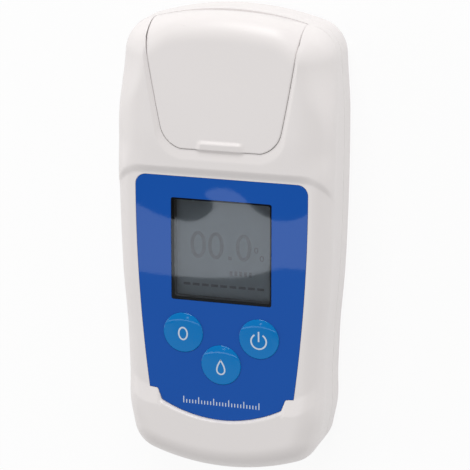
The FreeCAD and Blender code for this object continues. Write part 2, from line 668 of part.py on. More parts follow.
def rear_case(form, hollow):
    """Lower shell with the screw bosses, battery tub, door track and optics rests."""
    lower = box(-REACH, -REACH, -MARGIN, REACH, REACH, SPLIT_Z)
    shell = form.cut(hollow).common(lower)
    floor = DOOR_HALF_X + TONGUE_WIDTH + DOOR_LEDGE
    shell = shell.fuse(box(-floor, -REACH, 0, floor, DOOR_TOP_Y + DOOR_LEDGE,
                           LEDGE_Z + DOOR_LEDGE).common(form))
    tub, space = battery_tub()
    shell = shell.fuse(tub)
    for x, y in screw_spots():
        shell = shell.fuse(rod(BOSS_DIAMETER, WALL / 2, SPLIT_Z, x, y))
    for side in (1, -1):
        rest_x = side * (BLOCK_HALF_X - REST_INSET)
        shell = shell.fuse(box(rest_x - REST_WIDTH / 2, BLOCK_BOTTOM_Y + MARGIN, WALL / 2,
                               rest_x + REST_WIDTH / 2, BLOCK_TOP_Y - MARGIN, BLOCK_FOOT_Z))
    shell = shell.cut(space).cut(door_track())
    for x, y in screw_spots():
        shell = shell.cut(rod(SCREW_DIAMETER + 2 * SCREW_CLEARANCE, -MARGIN, SPLIT_Z + MARGIN, x, y))
        shell = shell.cut(rod(SCREW_HEAD_DIAMETER + 2 * SCREW_HEAD_CLEARANCE, -MARGIN, SCREW_HEAD_DEPTH, x, y))
    groove_foot = SPLIT_Z - GASKET_HEIGHT
    groove = pillar(case_outline(groove_foot, GASKET_INSET), groove_foot, SPLIT_Z)
    inner = GASKET_INSET + GASKET_WIDTH
    shell = shell.cut(groove.cut(pillar(case_outline(groove_foot, inner), groove_foot, SPLIT_Z)))
    outer = WELL_WALL + TROUGH_GAP
    return shell.cut(hinge_barrel(HINGE_CLEARANCE + outer, TROUGH_HALF + outer))


def case_gasket():
    """Rubber ring in the joint between the two shells."""
    foot = SPLIT_Z - GASKET_HEIGHT
    ring = pillar(case_outline(foot, GASKET_INSET), foot, SPLIT_Z)
    inner = GASKET_INSET + GASKET_WIDTH
    return ring.cut(pillar(case_outline(foot, inner), foot, SPLIT_Z))


def battery_door(form):
    """Door on the back that slides towards the bottom end until its tongues meet their notches."""
    door = form.common(door_plate(0.0))
    middle = (BACK_ARCH_TOP_Y + BACK_ARCH_BOTTOM_Y) / 2
    for top in tongue_tops():
        door = door.fuse(tongue_block(top, TONGUE_LENGTH, DOOR_INNER_Z - TONGUE_HEIGHT, 0.0))
    for i in range(GRIP_COUNT):
        y = DOOR_TOP_Y - GRIP_TOP_INSET - GRIP_PITCH * i
        share = (y - middle) / (BACK_ARCH_TOP_Y - middle)
        back = BACK_ARCH_HEIGHT * (1 - share ** 2)
        door = door.cut(Part.makeCylinder(2 * GRIP_DEPTH, GRIP_WIDTH, Vector(-GRIP_WIDTH / 2, y, back - GRIP_DEPTH),
                                          Vector(1, 0, 0)))
    return door


def case_screws():
    """Four screws put in from the back."""
    screws = []
    for x, y in screw_spots():
        head_z = SCREW_HEAD_DEPTH - SCREW_HEAD_HEIGHT
        head = rod(SCREW_HEAD_DIAMETER, head_z, SCREW_HEAD_DEPTH, x, y)
        shank = rod(SCREW_DIAMETER, SCREW_HEAD_DEPTH, SCREW_HEAD_DEPTH + SCREW_LENGTH - SCREW_SPARE, x, y)
        along, across = SCREW_SLOT_LENGTH / 2, SCREW_SLOT_WIDTH / 2
        slot = box(x - along, y - across, 0, x + along, y + across, head_z + SCREW_SLOT_DEPTH)
        cross = box(x - across, y - along, 0, x + across, y + along, head_z + SCREW_SLOT_DEPTH)
        screws.append(head.fuse(shank).cut(slot).cut(cross))
    return Part.makeCompound(screws)


def board_screws():
    """Four small screws that hold the circuit board to the posts."""
    screws = []
    for x, y in board_spots():
        head = rod(BOARD_SCREW_HEAD, BOARD_BOTTOM_Z - BOARD_SCREW_HEAD_HEIGHT, BOARD_BOTTOM_Z, x, y)
        screws.append(head.fuse(rod(BOARD_SCREW_DIAMETER, BOARD_BOTTOM_Z, BOARD_TOP_Z + BOARD_SCREW_GRIP, x, y)))
    return Part.makeCompound(screws)


def label_panel():
    """Printed film with the window and key holes."""
    film = pillar(label_outline(RECESS_Z), RECESS_Z, LABEL_Z)
    low, high = RECESS_Z - MARGIN, LABEL_Z + MARGIN
    film = film.cut(rounded_plate(WINDOW_X, WINDOW_Y, WINDOW_CORNER, low, high, 0, WINDOW_MID_Y))
    for x, y in key_spots().values():
        film = film.cut(rod(KEY_DIAMETER + 2 * KEY_CLEARANCE, low, high, x, y))
    return film


def display_window():
    """Clear window with a flange under the film."""
    low = RECESS_Z - WINDOW_THICKNESS
    flange = rounded_plate(WINDOW_X + 2 * (WINDOW_LEDGE - FIT), WINDOW_Y + 2 * (WINDOW_LEDGE - FIT),
                           WINDOW_CORNER + WINDOW_LEDGE, low, RECESS_Z, 0, WINDOW_MID_Y)
    return flange.fuse(rounded_plate(WINDOW_X - 2 * FIT, WINDOW_Y - 2 * FIT, WINDOW_CORNER, RECESS_Z, LABEL_Z,
                                     0, WINDOW_MID_Y))


def glass_top():
    """Level of the top of the display glass."""
    return RECESS_Z - WINDOW_THICKNESS - FRAME_HEIGHT


def display_frame():
    """Dark frame between the window and the display glass."""
    low, high = glass_top(), RECESS_Z - WINDOW_THICKNESS
    outer_x, outer_y = WINDOW_X + 2 * (FRAME_SPREAD - FIT), WINDOW_Y + 2 * (FRAME_SPREAD - FIT)
    outer = rounded_plate(outer_x, outer_y, WINDOW_CORNER, low, high, 0, WINDOW_MID_Y)
    return outer.cut(rounded_plate(outer_x - 2 * FRAME_RIM, outer_y - 2 * FRAME_RIM, WINDOW_CORNER,
                                   low - MARGIN, high + MARGIN, 0, WINDOW_MID_Y))


def display_glass():
    """Liquid crystal glass."""
    return rounded_plate(GLASS_X, GLASS_Y, GLASS_CORNER, glass_top() - GLASS_THICKNESS, glass_top(),
                         0, WINDOW_MID_Y)


def display_backlight():
    """Carrier and light guide under the display glass, standing on the board."""
    rim = 2 * BACKLIGHT_RIM
    return rounded_plate(GLASS_X + rim, GLASS_Y + rim, BACKLIGHT_CORNER, BOARD_TOP_Z,
                         glass_top() - GLASS_THICKNESS, 0, WINDOW_MID_Y)


def main_board():
    """Circuit board with its four screw holes."""
    middle = (BOARD_TOP_Y + BOARD_BOTTOM_Y) / 2
    board = rounded_plate(2 * BOARD_HALF_X, BOARD_TOP_Y - BOARD_BOTTOM_Y, BOARD_CORNER, BOARD_BOTTOM_Z,
                          BOARD_TOP_Z, 0, middle)
    for x, y in board_spots():
        board = board.cut(rod(BOARD_SCREW_DIAMETER, BOARD_BOTTOM_Z - MARGIN, BOARD_TOP_Z + MARGIN, x, y))
    return board


def chip(x, y, size_x, size_y):
    """One flat chip on the board."""
    return box(x - size_x / 2, y - size_y / 2, BOARD_TOP_Z, x + size_x / 2, y + size_y / 2,
               BOARD_TOP_Z + CHIP_HEIGHT)


def board_chips():
    """Processor, memory and regulator on the top of the board."""
    row_y, side_y = BOARD_TOP_Y - CHIP_INSET, WINDOW_MID_Y + SIDE_CHIP_ABOVE_WINDOW
    chips = [chip(0.0, row_y, CHIP_X, CHIP_Y)]
    for side in (1, -1):
        chips.append(chip(side * SMALL_CHIP_PLACE_X, row_y, SMALL_CHIP_X, SMALL_CHIP_Y))
        chips.append(chip(side * BOARD_POST_X, side_y, SIDE_CHIP_X, SIDE_CHIP_Y))
    return Part.makeCompound(chips)


def key_levels():
    """Foot of the flange, top of the flange and edge of the crown."""
    flange_top = INNER_Z - KEY_FLANGE_GAP
    return flange_top - KEY_FLANGE_HEIGHT, flange_top, LABEL_Z + KEY_PROUD


def key_cap(x, y):
    """Round key with a flange inside the case and a low crown."""
    foot, flange_top, edge = key_levels()
    radius, flange = KEY_DIAMETER / 2, KEY_DIAMETER / 2 + KEY_FLANGE
    ball = (radius ** 2 + KEY_CROWN ** 2) / (2 * KEY_CROWN)
    cap = rod(2 * radius, foot, edge + KEY_CROWN, x, y)
    cap = cap.common(Part.makeSphere(ball, Vector(x, y, edge + KEY_CROWN - ball)))
    return cap.fuse(rod(2 * flange, foot, flange_top, x, y))


def switch_top():
    """Level of the top of a switch body: the key stops just short of it."""
    return key_levels()[0] - KEY_TRAVEL - SWITCH_SPARE


def key_plunger(x, y):
    """Switch plunger under a key."""
    return rod(PLUNGER_DIAMETER, switch_top() - PLUNGER_DEPTH, key_levels()[0], x, y)


def switch_bodies():
    """Three switches on the board, one under each key."""
    half = SWITCH_SIZE / 2
    bodies = []
    for x, y in key_spots().values():
        body = box(x - half, y - half, BOARD_TOP_Z, x + half, y + half, switch_top())
        floor = switch_top() - PLUNGER_DEPTH - KEY_TRAVEL - PLUNGER_SPARE
        well = rod(PLUNGER_DIAMETER + 2 * PLUNGER_CLEARANCE, floor, switch_top() + MARGIN, x, y)
        bodies.append(body.cut(well))
    return Part.makeCompound(bodies)


def sample_stage():
    """Steel stage with the conical well that takes the drop of sample."""
    flange = rounded_plate(STAGE_X_SIZE, STAGE_Y_SIZE, STAGE_CORNER, DECK_Z, STAGE_TOP_Z, 0, STAGE_Y)
    body = rounded_plate(STAGE_X_SIZE - 2 * STAGE_LEDGE, STAGE_Y_SIZE - 2 * STAGE_LEDGE,
                         STAGE_CORNER - STAGE_LEDGE, STAGE_FOOT_Z, DECK_Z, 0, STAGE_Y)
    cone = Part.makeCone(WELL_BOTTOM_DIAMETER / 2, WELL_TOP_DIAMETER / 2, WELL_DEPTH,
                         Vector(0, STAGE_Y, WELL_BOTTOM_Z))
    bore = rod(WELL_BOTTOM_DIAMETER, STAGE_FOOT_Z - MARGIN, WELL_BOTTOM_Z, 0, STAGE_Y)
    return flange.fuse(body).cut(cone).cut(bore)


def prism():
    """Glass prism whose top face is the floor of the well."""
    foot = STAGE_FOOT_Z - PRISM_HEIGHT
    top, base = PRISM_TOP_Y / 2, PRISM_BASE_Y / 2
    x = -PRISM_X / 2
    wire = Part.makePolygon([Vector(x, STAGE_Y - base, foot), Vector(x, STAGE_Y + base, foot),
                             Vector(x, STAGE_Y + top, STAGE_FOOT_Z), Vector(x, STAGE_Y - top, STAGE_FOOT_Z),
                             Vector(x, STAGE_Y - base, foot)])
    block = Part.Face(wire).extrude(Vector(PRISM_X, 0, 0))
    return block.fuse(rod(PRISM_TOP_DIAMETER, STAGE_FOOT_Z, WELL_BOTTOM_Z, 0, STAGE_Y))


def prism_seal():
    """Rubber ring round the top of the prism."""
    ring = rod(WELL_BOTTOM_DIAMETER, STAGE_FOOT_Z, WELL_BOTTOM_Z - SEAL_RECESS, 0, STAGE_Y)
    return ring.cut(rod(PRISM_TOP_DIAMETER, STAGE_FOOT_Z - MARGIN, WELL_BOTTOM_Z + MARGIN, 0, STAGE_Y))


def lens_y():
    """Face of the lens towards the prism."""
    slope = (PRISM_BASE_Y - PRISM_TOP_Y) / 2 / PRISM_HEIGHT
    half = PRISM_TOP_Y / 2 + slope * (STAGE_FOOT_Z - OPTIC_AXIS_Z + LED_DIAMETER / 2)
    return STAGE_Y - half - OPTIC_GAP


def optics_block():
    """Black block that holds the prism, the light source and the sensor under the stage."""
    top = DECK_Z - DECK_THICKNESS
    block = box(-BLOCK_HALF_X, BLOCK_BOTTOM_Y, BLOCK_FOOT_Z, BLOCK_HALF_X, BLOCK_TOP_Y, top)
    block = block.cut(rounded_plate(STAGE_X_SIZE - 2 * STAGE_LEDGE, STAGE_Y_SIZE - 2 * STAGE_LEDGE,
                                    STAGE_CORNER - STAGE_LEDGE, STAGE_FOOT_Z, top + MARGIN, 0, STAGE_Y))
    half = PRISM_X / 2
    foot = STAGE_FOOT_Z - PRISM_HEIGHT
    block = block.cut(box(-half, STAGE_Y - PRISM_BASE_Y / 2, foot, half, STAGE_Y + PRISM_BASE_Y / 2, top))
    block = block.cut(rod_y(LED_DIAMETER, BLOCK_BOTTOM_Y - MARGIN, STAGE_Y, 0, OPTIC_AXIS_Z))
    low = foot - OPTIC_GAP
    block = block.cut(box(-SENSOR_X / 2, BLOCK_TOP_Y - SENSOR_DEPTH, low, SENSOR_X / 2, BLOCK_TOP_Y + MARGIN,
                          low + SENSOR_Z))
    return block.cut(rod(PROBE_DIAMETER, STAGE_FOOT_Z - PROBE_LENGTH, top, PROBE_X, STAGE_Y))


def led_source():
    """Light source pressed into the block from the handle side."""
    y1 = lens_y() - LENS_THICKNESS
    return rod_y(LED_DIAMETER, y1 - LED_LENGTH, y1, 0, OPTIC_AXIS_Z).fuse(
        rod_y(LED_DIAMETER + 2 * LED_RIM, BLOCK_BOTTOM_Y - MARGIN, BLOCK_BOTTOM_Y, 0, OPTIC_AXIS_Z))


def collimating_lens():
    """Small lens between the light source and the prism."""
    return rod_y(LED_DIAMETER, lens_y() - LENS_THICKNESS, lens_y(), 0, OPTIC_AXIS_Z)


def line_sensor():
    """Row sensor that sees the edge of the shadow."""
    low = STAGE_FOOT_Z - PRISM_HEIGHT - OPTIC_GAP
    return box(-SENSOR_X / 2, BLOCK_TOP_Y - SENSOR_DEPTH, low, SENSOR_X / 2, BLOCK_TOP_Y, low + SENSOR_Z)


def sensor_board():
    """Small upright board on the end of the block."""
    foot = BLOCK_FOOT_Z
    return box(-SENSOR_BOARD_X / 2, BLOCK_TOP_Y, foot, SENSOR_BOARD_X / 2, BLOCK_TOP_Y + SENSOR_BOARD_THICKNESS,
               foot + SENSOR_BOARD_Z)


def temperature_probe():
    """Probe that touches the underside of the stage."""
    return rod(PROBE_DIAMETER, STAGE_FOOT_Z - PROBE_LENGTH, STAGE_FOOT_Z, PROBE_X, STAGE_Y)


def battery_cell():
    """Small round cell with its raised contact towards the lid end."""
    cell = rod_y(CELL_DIAMETER, CELL_TOP_Y - CELL_LENGTH, CELL_TOP_Y, 0, CELL_Z)
    return cell.fuse(rod_y(CELL_NUB_DIAMETER, CELL_TOP_Y, CELL_TOP_Y + CELL_NUB_HEIGHT, 0, CELL_Z))


def contact_plate(y):
    """Flat upright contact across the battery compartment."""
    return box(-CONTACT_HALF_X, y, CELL_Z - CONTACT_BELOW, CONTACT_HALF_X, y + CONTACT_THICKNESS,
               CELL_Z + CONTACT_ABOVE)


def battery_spring():
    """Coil spring contact at the flat end of the cell, on its plate."""
    foot = CELL_TOP_Y - CELL_LENGTH - SPRING_LENGTH
    radius, rise = SPRING_RADIUS, SPRING_LENGTH - SPRING_WIRE
    helix = Part.makeHelix(rise / SPRING_TURNS, rise, radius)
    corners = []
    for i in range(SPRING_SIDES + 1):
        turn = 2 * math.pi * (i % SPRING_SIDES) / SPRING_SIDES
        corners.append(Vector(radius + SPRING_WIRE / 2 * math.cos(turn), 0, SPRING_WIRE / 2 * math.sin(turn)))
    coil = Part.Wire(helix.Edges).makePipeShell([Part.makePolygon(corners)], True, False)
    coil.rotate(Vector(0, 0, 0), Vector(1, 0, 0), -90)
    coil.translate(Vector(0, foot + SPRING_WIRE / 2, CELL_Z))
    return Part.makeCompound([contact_plate(foot - CONTACT_THICKNESS), coil])


def battery_plate():
    """Flat contact at the raised end of the cell."""
    return contact_plate(CELL_TOP_Y + CELL_NUB_HEIGHT)


def lid():
    """Lid that wraps over the end of the case, with its finger lip and hinge barrel."""
    skin = head_skin(LID_DROP)
    top = FACE_Z + MARGIN
    block = pillar(lid_outline(0), 0, top).common(skin)
    roof = block.common(box(-REACH, 0, SKIRT_Z, REACH, REACH, top))
    barrel = hinge_barrel(0.0, LID_END_HALF).common(block)
    low = SKIRT_Z - MARGIN
    space = pillar(lid_outline(low, -LID_SKIRT), low, LID_UNDER_Z)
    under = HINGE_Y - HINGE_BARREL_RADIUS - HINGE_CLEARANCE
    space = space.common(box(-REACH, 0, 0, REACH, under, top))
    shell = roof.cut(space).fuse(barrel)
    slot = RELIEF_SHARE * LID_END_X
    relief = hinge_rod(HINGE_BARREL_RADIUS - BARREL_WALL, slot)
    relief = relief.common(box(-slot, 0, 0, slot, HINGE_Y + RELIEF_RUN, HINGE_Z - RELIEF_DROP))
    shell = shell.cut(relief.cut(hinge_rod(PIN_DIAMETER / 2 + PIN_WALL, slot)))
    shell = shell.cut(hinge_rod(PIN_DIAMETER / 2 + PIN_CLEARANCE, LID_END_HALF))
    foot = LID_BOTTOM_Y
    lip = loft([rectangle(LIP_FOOT_X, foot, foot + LIP_FOOT_LENGTH, LID_Z - LIP_ROOT),
                rectangle(LIP_TOP_X, foot + LIP_TOP_INSET, foot + LIP_TOP_INSET + LIP_TOP_LENGTH, LIP_TOP_Z)])
    return shell.fuse(lip)


def rectangle(half_x, y0, y1, z):
    """Flat rectangular wire."""
    return Part.makePolygon([Vector(-half_x, y0, z), Vector(half_x, y0, z), Vector(half_x, y1, z),
                             Vector(-half_x, y1, z), Vector(-half_x, y0, z)])


def lid_liner():
    """Soft pad under the lid that keeps stray light off the prism."""
    pad = rounded_plate(STAGE_X_SIZE - 2 * LINER_INSET, STAGE_Y_SIZE - 2 * LINER_INSET,
                        STAGE_CORNER - LINER_INSET, LID_UNDER_Z - LINER_THICKNESS, LID_UNDER_Z, 0, STAGE_Y)
    return pad.cut(rod(WELL_TOP_DIAMETER + 2 * LINER_HOLE_CLEARANCE, 0, FACE_Z, 0, STAGE_Y))


def hinge_pin():
    """Steel pin pressed into the case at both ends."""
    return hinge_rod(PIN_DIAMETER / 2, TROUGH_HALF + WELL_WALL)


def build():
    """All pieces by name."""
    form, hollow = case_form(), case_hollow()
    parts = {
        "front_case": front_case(form, hollow),
        "rear_case": rear_case(form, hollow),
        "case_gasket": case_gasket(),
        "battery_door": battery_door(form),
        "case_screws": case_screws(),
        "board_screws": board_screws(),
        "label_panel": label_panel(),
        "display_window": display_window(),
        "display_frame": display_frame(),
        "display_glass": display_glass(),
        "display_backlight": display_backlight(),
        "main_board": main_board(),
        "board_chips": board_chips(),
        "switch_bodies": switch_bodies(),
        "sample_stage": sample_stage(),
        "prism": prism(),
        "prism_seal": prism_seal(),
        "optics_block": optics_block(),
        "led_source": led_source(),
        "collimating_lens": collimating_lens(),
        "line_sensor": line_sensor(),
        "sensor_board": sensor_board(),
        "temperature_probe": temperature_probe(),
        "battery_cell": battery_cell(),
        "battery_spring": battery_spring(),
        "battery_plate": battery_plate(),
        "lid": lid(),
        "lid_liner": lid_liner(),
        "hinge_pin": hinge_pin(),
    }
    for name, (x, y) in key_spots().items():
        parts[name + "_key"] = key_cap(x, y)
        parts[name + "_plunger"] = key_plunger(x, y)
    return parts


os.makedirs("parts", exist_ok=True)
for node, shape in build().items():
    shape.exportStep("parts/" + node + ".step")
    solids = shape.Solids
    print(node, "solids", len(solids), "valid", shape.isValid(), "volume", round(sum(s.Volume for s in solids), 1))
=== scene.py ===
import bmesh
import bpy
import numpy as np
from mathutils import Matrix, Vector


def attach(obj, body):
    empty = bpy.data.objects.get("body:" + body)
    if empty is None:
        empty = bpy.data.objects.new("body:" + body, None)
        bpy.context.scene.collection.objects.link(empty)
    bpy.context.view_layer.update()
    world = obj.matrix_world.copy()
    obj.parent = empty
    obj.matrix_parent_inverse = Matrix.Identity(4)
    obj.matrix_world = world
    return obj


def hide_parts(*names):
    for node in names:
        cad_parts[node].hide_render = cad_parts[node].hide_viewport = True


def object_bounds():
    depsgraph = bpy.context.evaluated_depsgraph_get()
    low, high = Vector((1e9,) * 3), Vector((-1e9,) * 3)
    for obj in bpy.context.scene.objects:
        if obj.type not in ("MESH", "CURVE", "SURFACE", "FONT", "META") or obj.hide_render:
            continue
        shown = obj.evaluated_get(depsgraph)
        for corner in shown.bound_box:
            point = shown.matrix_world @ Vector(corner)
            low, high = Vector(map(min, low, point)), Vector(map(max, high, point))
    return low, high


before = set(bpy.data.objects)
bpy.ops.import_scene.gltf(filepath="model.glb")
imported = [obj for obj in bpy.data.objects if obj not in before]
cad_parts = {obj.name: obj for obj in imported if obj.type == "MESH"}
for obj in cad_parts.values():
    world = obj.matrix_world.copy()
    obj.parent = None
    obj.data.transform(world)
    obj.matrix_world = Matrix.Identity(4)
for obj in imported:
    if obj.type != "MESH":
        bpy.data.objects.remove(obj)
cad_low, cad_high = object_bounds()

# Millimetres are used throughout and turned into metres as each mesh is made.
# X runs to the right of the face, Y towards the lid end and Z out of the face.


# Front shell
# The upper half of the white housing, moulded in one piece of ABS. It carries the crowned
# head with the dished seat of the lid, the lowered handle face, the raised foot with its two
# small ears, and the well under the lid. Four screws from the back hold it to the rear shell.
MM = 0.001
HALF_LENGTH = cad_high[1] / MM
HALF_WIDTH = cad_high[0] / MM
FACE = 24.4
HANDLE_FACE = 23.2
TOP_END_RADIUS = 74.0
BOTTOM_END_RADIUS = 58.0
SIDE_RADIUS = 800.0
WIDEST_Y = 28.0
TOP_CORNER_RADIUS = 9.0
BOTTOM_CORNER_RADIUS = 8.0
HEAD_ROUNDING = 6.7
CORNER_EXTRA = 4.3
SHOULDER_TIGHTER = 1.0
SHOULDER_FLATTER = 0.75
HANDLE_ROUNDING = 5.2
CROWN_RADIUS = 16.0
CROWN_WIDTH = 10.2
SPLIT_Z = 10.0
SPLIT_GROOVE = 0.14
WALL = 2.4
INNER_Z = 20.7


def touching_centre(end_centre, end_radius, side_centre, side_radius, corner, side):
    """Centre of a corner circle that touches an end circle and a side circle from inside.

    It lies where the two circles, each drawn in by the corner's radius, cross.
    """
    gap = side_centre - end_centre
    far = np.hypot(*gap)
    r1, r2 = end_radius - corner, side_radius - corner
    along = (r1 ** 2 - r2 ** 2 + far ** 2) / (2 * far)
    across = np.sqrt(r1 ** 2 - along ** 2)
    unit = gap / far
    return end_centre + along * unit + side * across * np.array([-unit[1], unit[0]])


TOP_CENTRE = np.array([0.0, HALF_LENGTH - TOP_END_RADIUS])
BOTTOM_CENTRE = np.array([0.0, BOTTOM_END_RADIUS - HALF_LENGTH])
SIDE_CENTRE = np.array([HALF_WIDTH - SIDE_RADIUS, WIDEST_Y])
HIGH = touching_centre(TOP_CENTRE, TOP_END_RADIUS, SIDE_CENTRE, SIDE_RADIUS, TOP_CORNER_RADIUS, -1)
LOW = touching_centre(BOTTOM_CENTRE, BOTTOM_END_RADIUS, SIDE_CENTRE, SIDE_RADIUS, BOTTOM_CORNER_RADIUS, 1)


def bearing(centre, point):
    """Angle of a point seen from a centre."""
    return np.arctan2(point[1] - centre[1], point[0] - centre[0])


def directions(angles):
    """Unit directions at angles: their cosines and sines."""
    return np.stack([np.cos(angles), np.sin(angles)], axis=1)


def steps(start, end, count):
    """Even places from a start up to an end, without the end itself."""
    return np.linspace(start, end, count, endpoint=False)


END_POINTS = 26
CORNER_POINTS = 18


def outline_arcs(side_rows):
    """Centres, radii and directions of the right half of the case outline, bottom to top.

    Each point is its arc's centre plus radius times direction. The five arcs are the bottom
    end, the bottom corner, the long side at the Y of each side row, the top corner, the top end.
    """
    low_end, low_side = bearing(BOTTOM_CENTRE, LOW), bearing(SIDE_CENTRE, LOW)
    high_side, high_end = bearing(SIDE_CENTRE, HIGH), bearing(TOP_CENTRE, HIGH)
    turns = [
        (BOTTOM_CENTRE, BOTTOM_END_RADIUS, np.linspace(-np.pi / 2, low_end, END_POINTS)),
        (LOW, BOTTOM_CORNER_RADIUS, np.linspace(low_end, low_side, CORNER_POINTS)[1:-1]),
        (SIDE_CENTRE, SIDE_RADIUS, np.arcsin((side_rows - WIDEST_Y) / SIDE_RADIUS)),
        (HIGH, TOP_CORNER_RADIUS, np.linspace(high_side, high_end, CORNER_POINTS)[1:-1]),
        (TOP_CENTRE, TOP_END_RADIUS, np.linspace(high_end, np.pi / 2, END_POINTS)),
    ]
    arcs = [(np.tile(centre, (len(angles), 1)), np.full(len(angles), radius), directions(angles))
            for centre, radius, angles in turns]
    return [np.concatenate(column) for column in zip(*arcs)]


SIDE_LOW = LOW[1] + BOTTOM_CORNER_RADIUS * np.sin(bearing(SIDE_CENTRE, LOW))
SIDE_HIGH = HIGH[1] + TOP_CORNER_RADIUS * np.sin(bearing(SIDE_CENTRE, HIGH))
HANDLE_ROWS_Y = -24.0
STEP_ROWS_Y = 12.0
HEAD_ROWS_Y = 34.5
SIDE_ROWS = np.concatenate([steps(SIDE_LOW, HANDLE_ROWS_Y, 129), steps(HANDLE_ROWS_Y, STEP_ROWS_Y, 36),
                            steps(STEP_ROWS_Y, HEAD_ROWS_Y, 81), np.linspace(HEAD_ROWS_Y, SIDE_HIGH, 24)])
ARC_CENTRES, ARC_RADII, ARC_WAYS = outline_arcs(SIDE_ROWS)


def eased(t):
    """Soft step from 0 to 1."""
    t = np.clip(t, 0, 1)
    return t ** 2 * (3 - 2 * t)


FOOT_SWELL = 0.8
FOOT_SWELL_Y = -44.0
FOOT_SWELL_RUN = 6.0
WAIST_DRAW = 0.4
WAIST_Y = -22.0
WAIST_RUN = 9.0
CORNER_DRAW = 0.6
CORNER_DRAW_Y = 34.0
CORNER_DRAW_RUN = 16.0


def swell(y):
    """How far the sides stand off the long arcs.

    A bell curve goes out at the foot, one goes in at the waist, and a soft step in at the far corners.
    """
    foot = FOOT_SWELL * np.exp(-((y - FOOT_SWELL_Y) / FOOT_SWELL_RUN) ** 2)
    waist = WAIST_DRAW * np.exp(-((y - WAIST_Y) / WAIST_RUN) ** 2)
    return foot - waist - CORNER_DRAW * eased((y - CORNER_DRAW_Y) / CORNER_DRAW_RUN)


def outline(inset):
    """Right half of the outline drawn in by inset.

    Each point is its arc's centre plus radius less inset times direction, and the swell.
    """
    plan = ARC_CENTRES + (ARC_RADII - inset)[:, None] * ARC_WAYS
    plan[:, 0] += swell(plan[:, 1]) * ARC_WAYS[:, 0] ** 2
    return plan


def mirrored(right):
    """A closed loop from its right half, which starts and ends on the middle line."""
    left = right[::-1] * np.array([-1.0, 1.0])
    return np.concatenate([right, left[1:-1]])


def depth(x, y):
    """Distance in from the outline: radius less distance to the centre of the arc that faces the point.

    The swell is added as far as that arc faces sideways.
    """
    p = np.stack([np.abs(x), y], axis=-1)
    above = y > 0
    from_end, from_side = p - np.where(above[..., None], TOP_CENTRE, BOTTOM_CENTRE), p - SIDE_CENTRE
    end_far, side_far = np.linalg.norm(from_end, axis=-1), np.linalg.norm(from_side, axis=-1)
    end_near = np.where(above, TOP_END_RADIUS, BOTTOM_END_RADIUS) - end_far
    at_side = SIDE_RADIUS - side_far < end_near
    near = np.where(at_side, SIDE_RADIUS - side_far, end_near)
    sideways = np.where(at_side, from_side[..., 0] / side_far, from_end[..., 0] / end_far)
    for centre, radius, end, turn in ((HIGH, TOP_CORNER_RADIUS, TOP_CENTRE, 1),
                                      (LOW, BOTTOM_CORNER_RADIUS, BOTTOM_CENTRE, -1)):
        off, end_way, side_way = p - centre, centre - end, centre - SIDE_CENTRE
        past_side = turn * (side_way[0] * off[..., 1] - side_way[1] * off[..., 0]) >= 0
        before_end = turn * (off[..., 0] * end_way[1] - off[..., 1] * end_way[0]) >= 0
        far = np.maximum(np.linalg.norm(off, axis=-1), 1e-9)
        near = np.where(past_side & before_end, radius - far, near)
        sideways = np.where(past_side & before_end, off[..., 0] / far, sideways)
    return np.clip(near + swell(y) * sideways ** 2, 0, None)


def fillet(d, radius):
    """Fall of a rounded edge at depth d: radius less the height of its quarter circle."""
    return radius - np.sqrt(radius ** 2 - (radius - np.clip(d, 0, radius)) ** 2)


def crown(x):
    """Fall of the face to its sides: flat in the middle, then a circle."""
    run = np.clip(np.abs(x) - (HALF_WIDTH - CROWN_WIDTH), 0, None)
    return CROWN_RADIUS - np.sqrt(CROWN_RADIUS ** 2 - run ** 2)


HEAD_BLEND = 6
NEAR_STEP_Y = 16.0
NEAR_STEP_RUN = 11.0
FAR_CORNER_X = 13.0
FAR_CORNER_SPREAD = 11.0
FAR_CORNER_Y = 30.0
FAR_CORNER_RUN = 20.0


def head_height(x, y, face):
    """Height of the head's skin: the face less a sixth-power blend of end rounding and crown.

    The rounding grows towards the two far corners. Near the shoulder it is tighter and the crown flatter.
    """
    near_step = (1 - eased((y - NEAR_STEP_Y) / NEAR_STEP_RUN)) * (y > 0)
    radius = HEAD_ROUNDING - SHOULDER_TIGHTER * near_step
    radius += (CORNER_EXTRA * eased((y - FAR_CORNER_Y) / FAR_CORNER_RUN)
               * eased((np.abs(x) - FAR_CORNER_X) / FAR_CORNER_SPREAD))
    rounded = fillet(depth(x, y), radius)
    crowned = crown(x) * (1 - SHOULDER_FLATTER * near_step)
    return face - (rounded ** HEAD_BLEND + crowned ** HEAD_BLEND) ** (1 / HEAD_BLEND)


def arc(p, q, r, count):
    """Points of the circle through p, q and r, evenly turned from p to r."""
    p, q, r = (np.array(v, float) for v in (p, q, r))
    rows = np.array([q - p, r - p]) * 2
    centre = np.linalg.solve(rows, [q @ q - p @ p, r @ r - p @ p])
    radius = np.linalg.norm(p - centre)
    start, end = bearing(centre, p), bearing(centre, r)
    left = (q[0] - p[0]) * (r[1] - q[1]) - (q[1] - p[1]) * (r[0] - q[0]) > 0
    sweep = (end - start) % (2 * np.pi) if left else -((start - end) % (2 * np.pi))
    angle = start + sweep * np.linspace(0, 1, count)
    return centre + radius * directions(angle)


EAR_TOP_Y = -39.2
EAR_OUTER_X = 19.4
EAR_INNER_X = 17.3
EAR_ROUNDING = 0.75
EAR_FOOT_X = 16.3
EAR_FOOT_Y = -42.4
BUMPER_EDGE_Y = -46.6
BUMPER_SLOPE = 3.9


def ear_corner(x, y):
    """The rounded inner corner of an ear: an arc from its steep side to its top."""
    r = EAR_ROUNDING
    return arc((x - 0.2 * r, y - r), (x + 0.16 * r, y - 0.27 * r), (x + r, y), 5)


BUMPER_FLANK_X = 6.1
BUMPER_FLANK_Y = 3.7
BUMPER_END_Y = -27.5


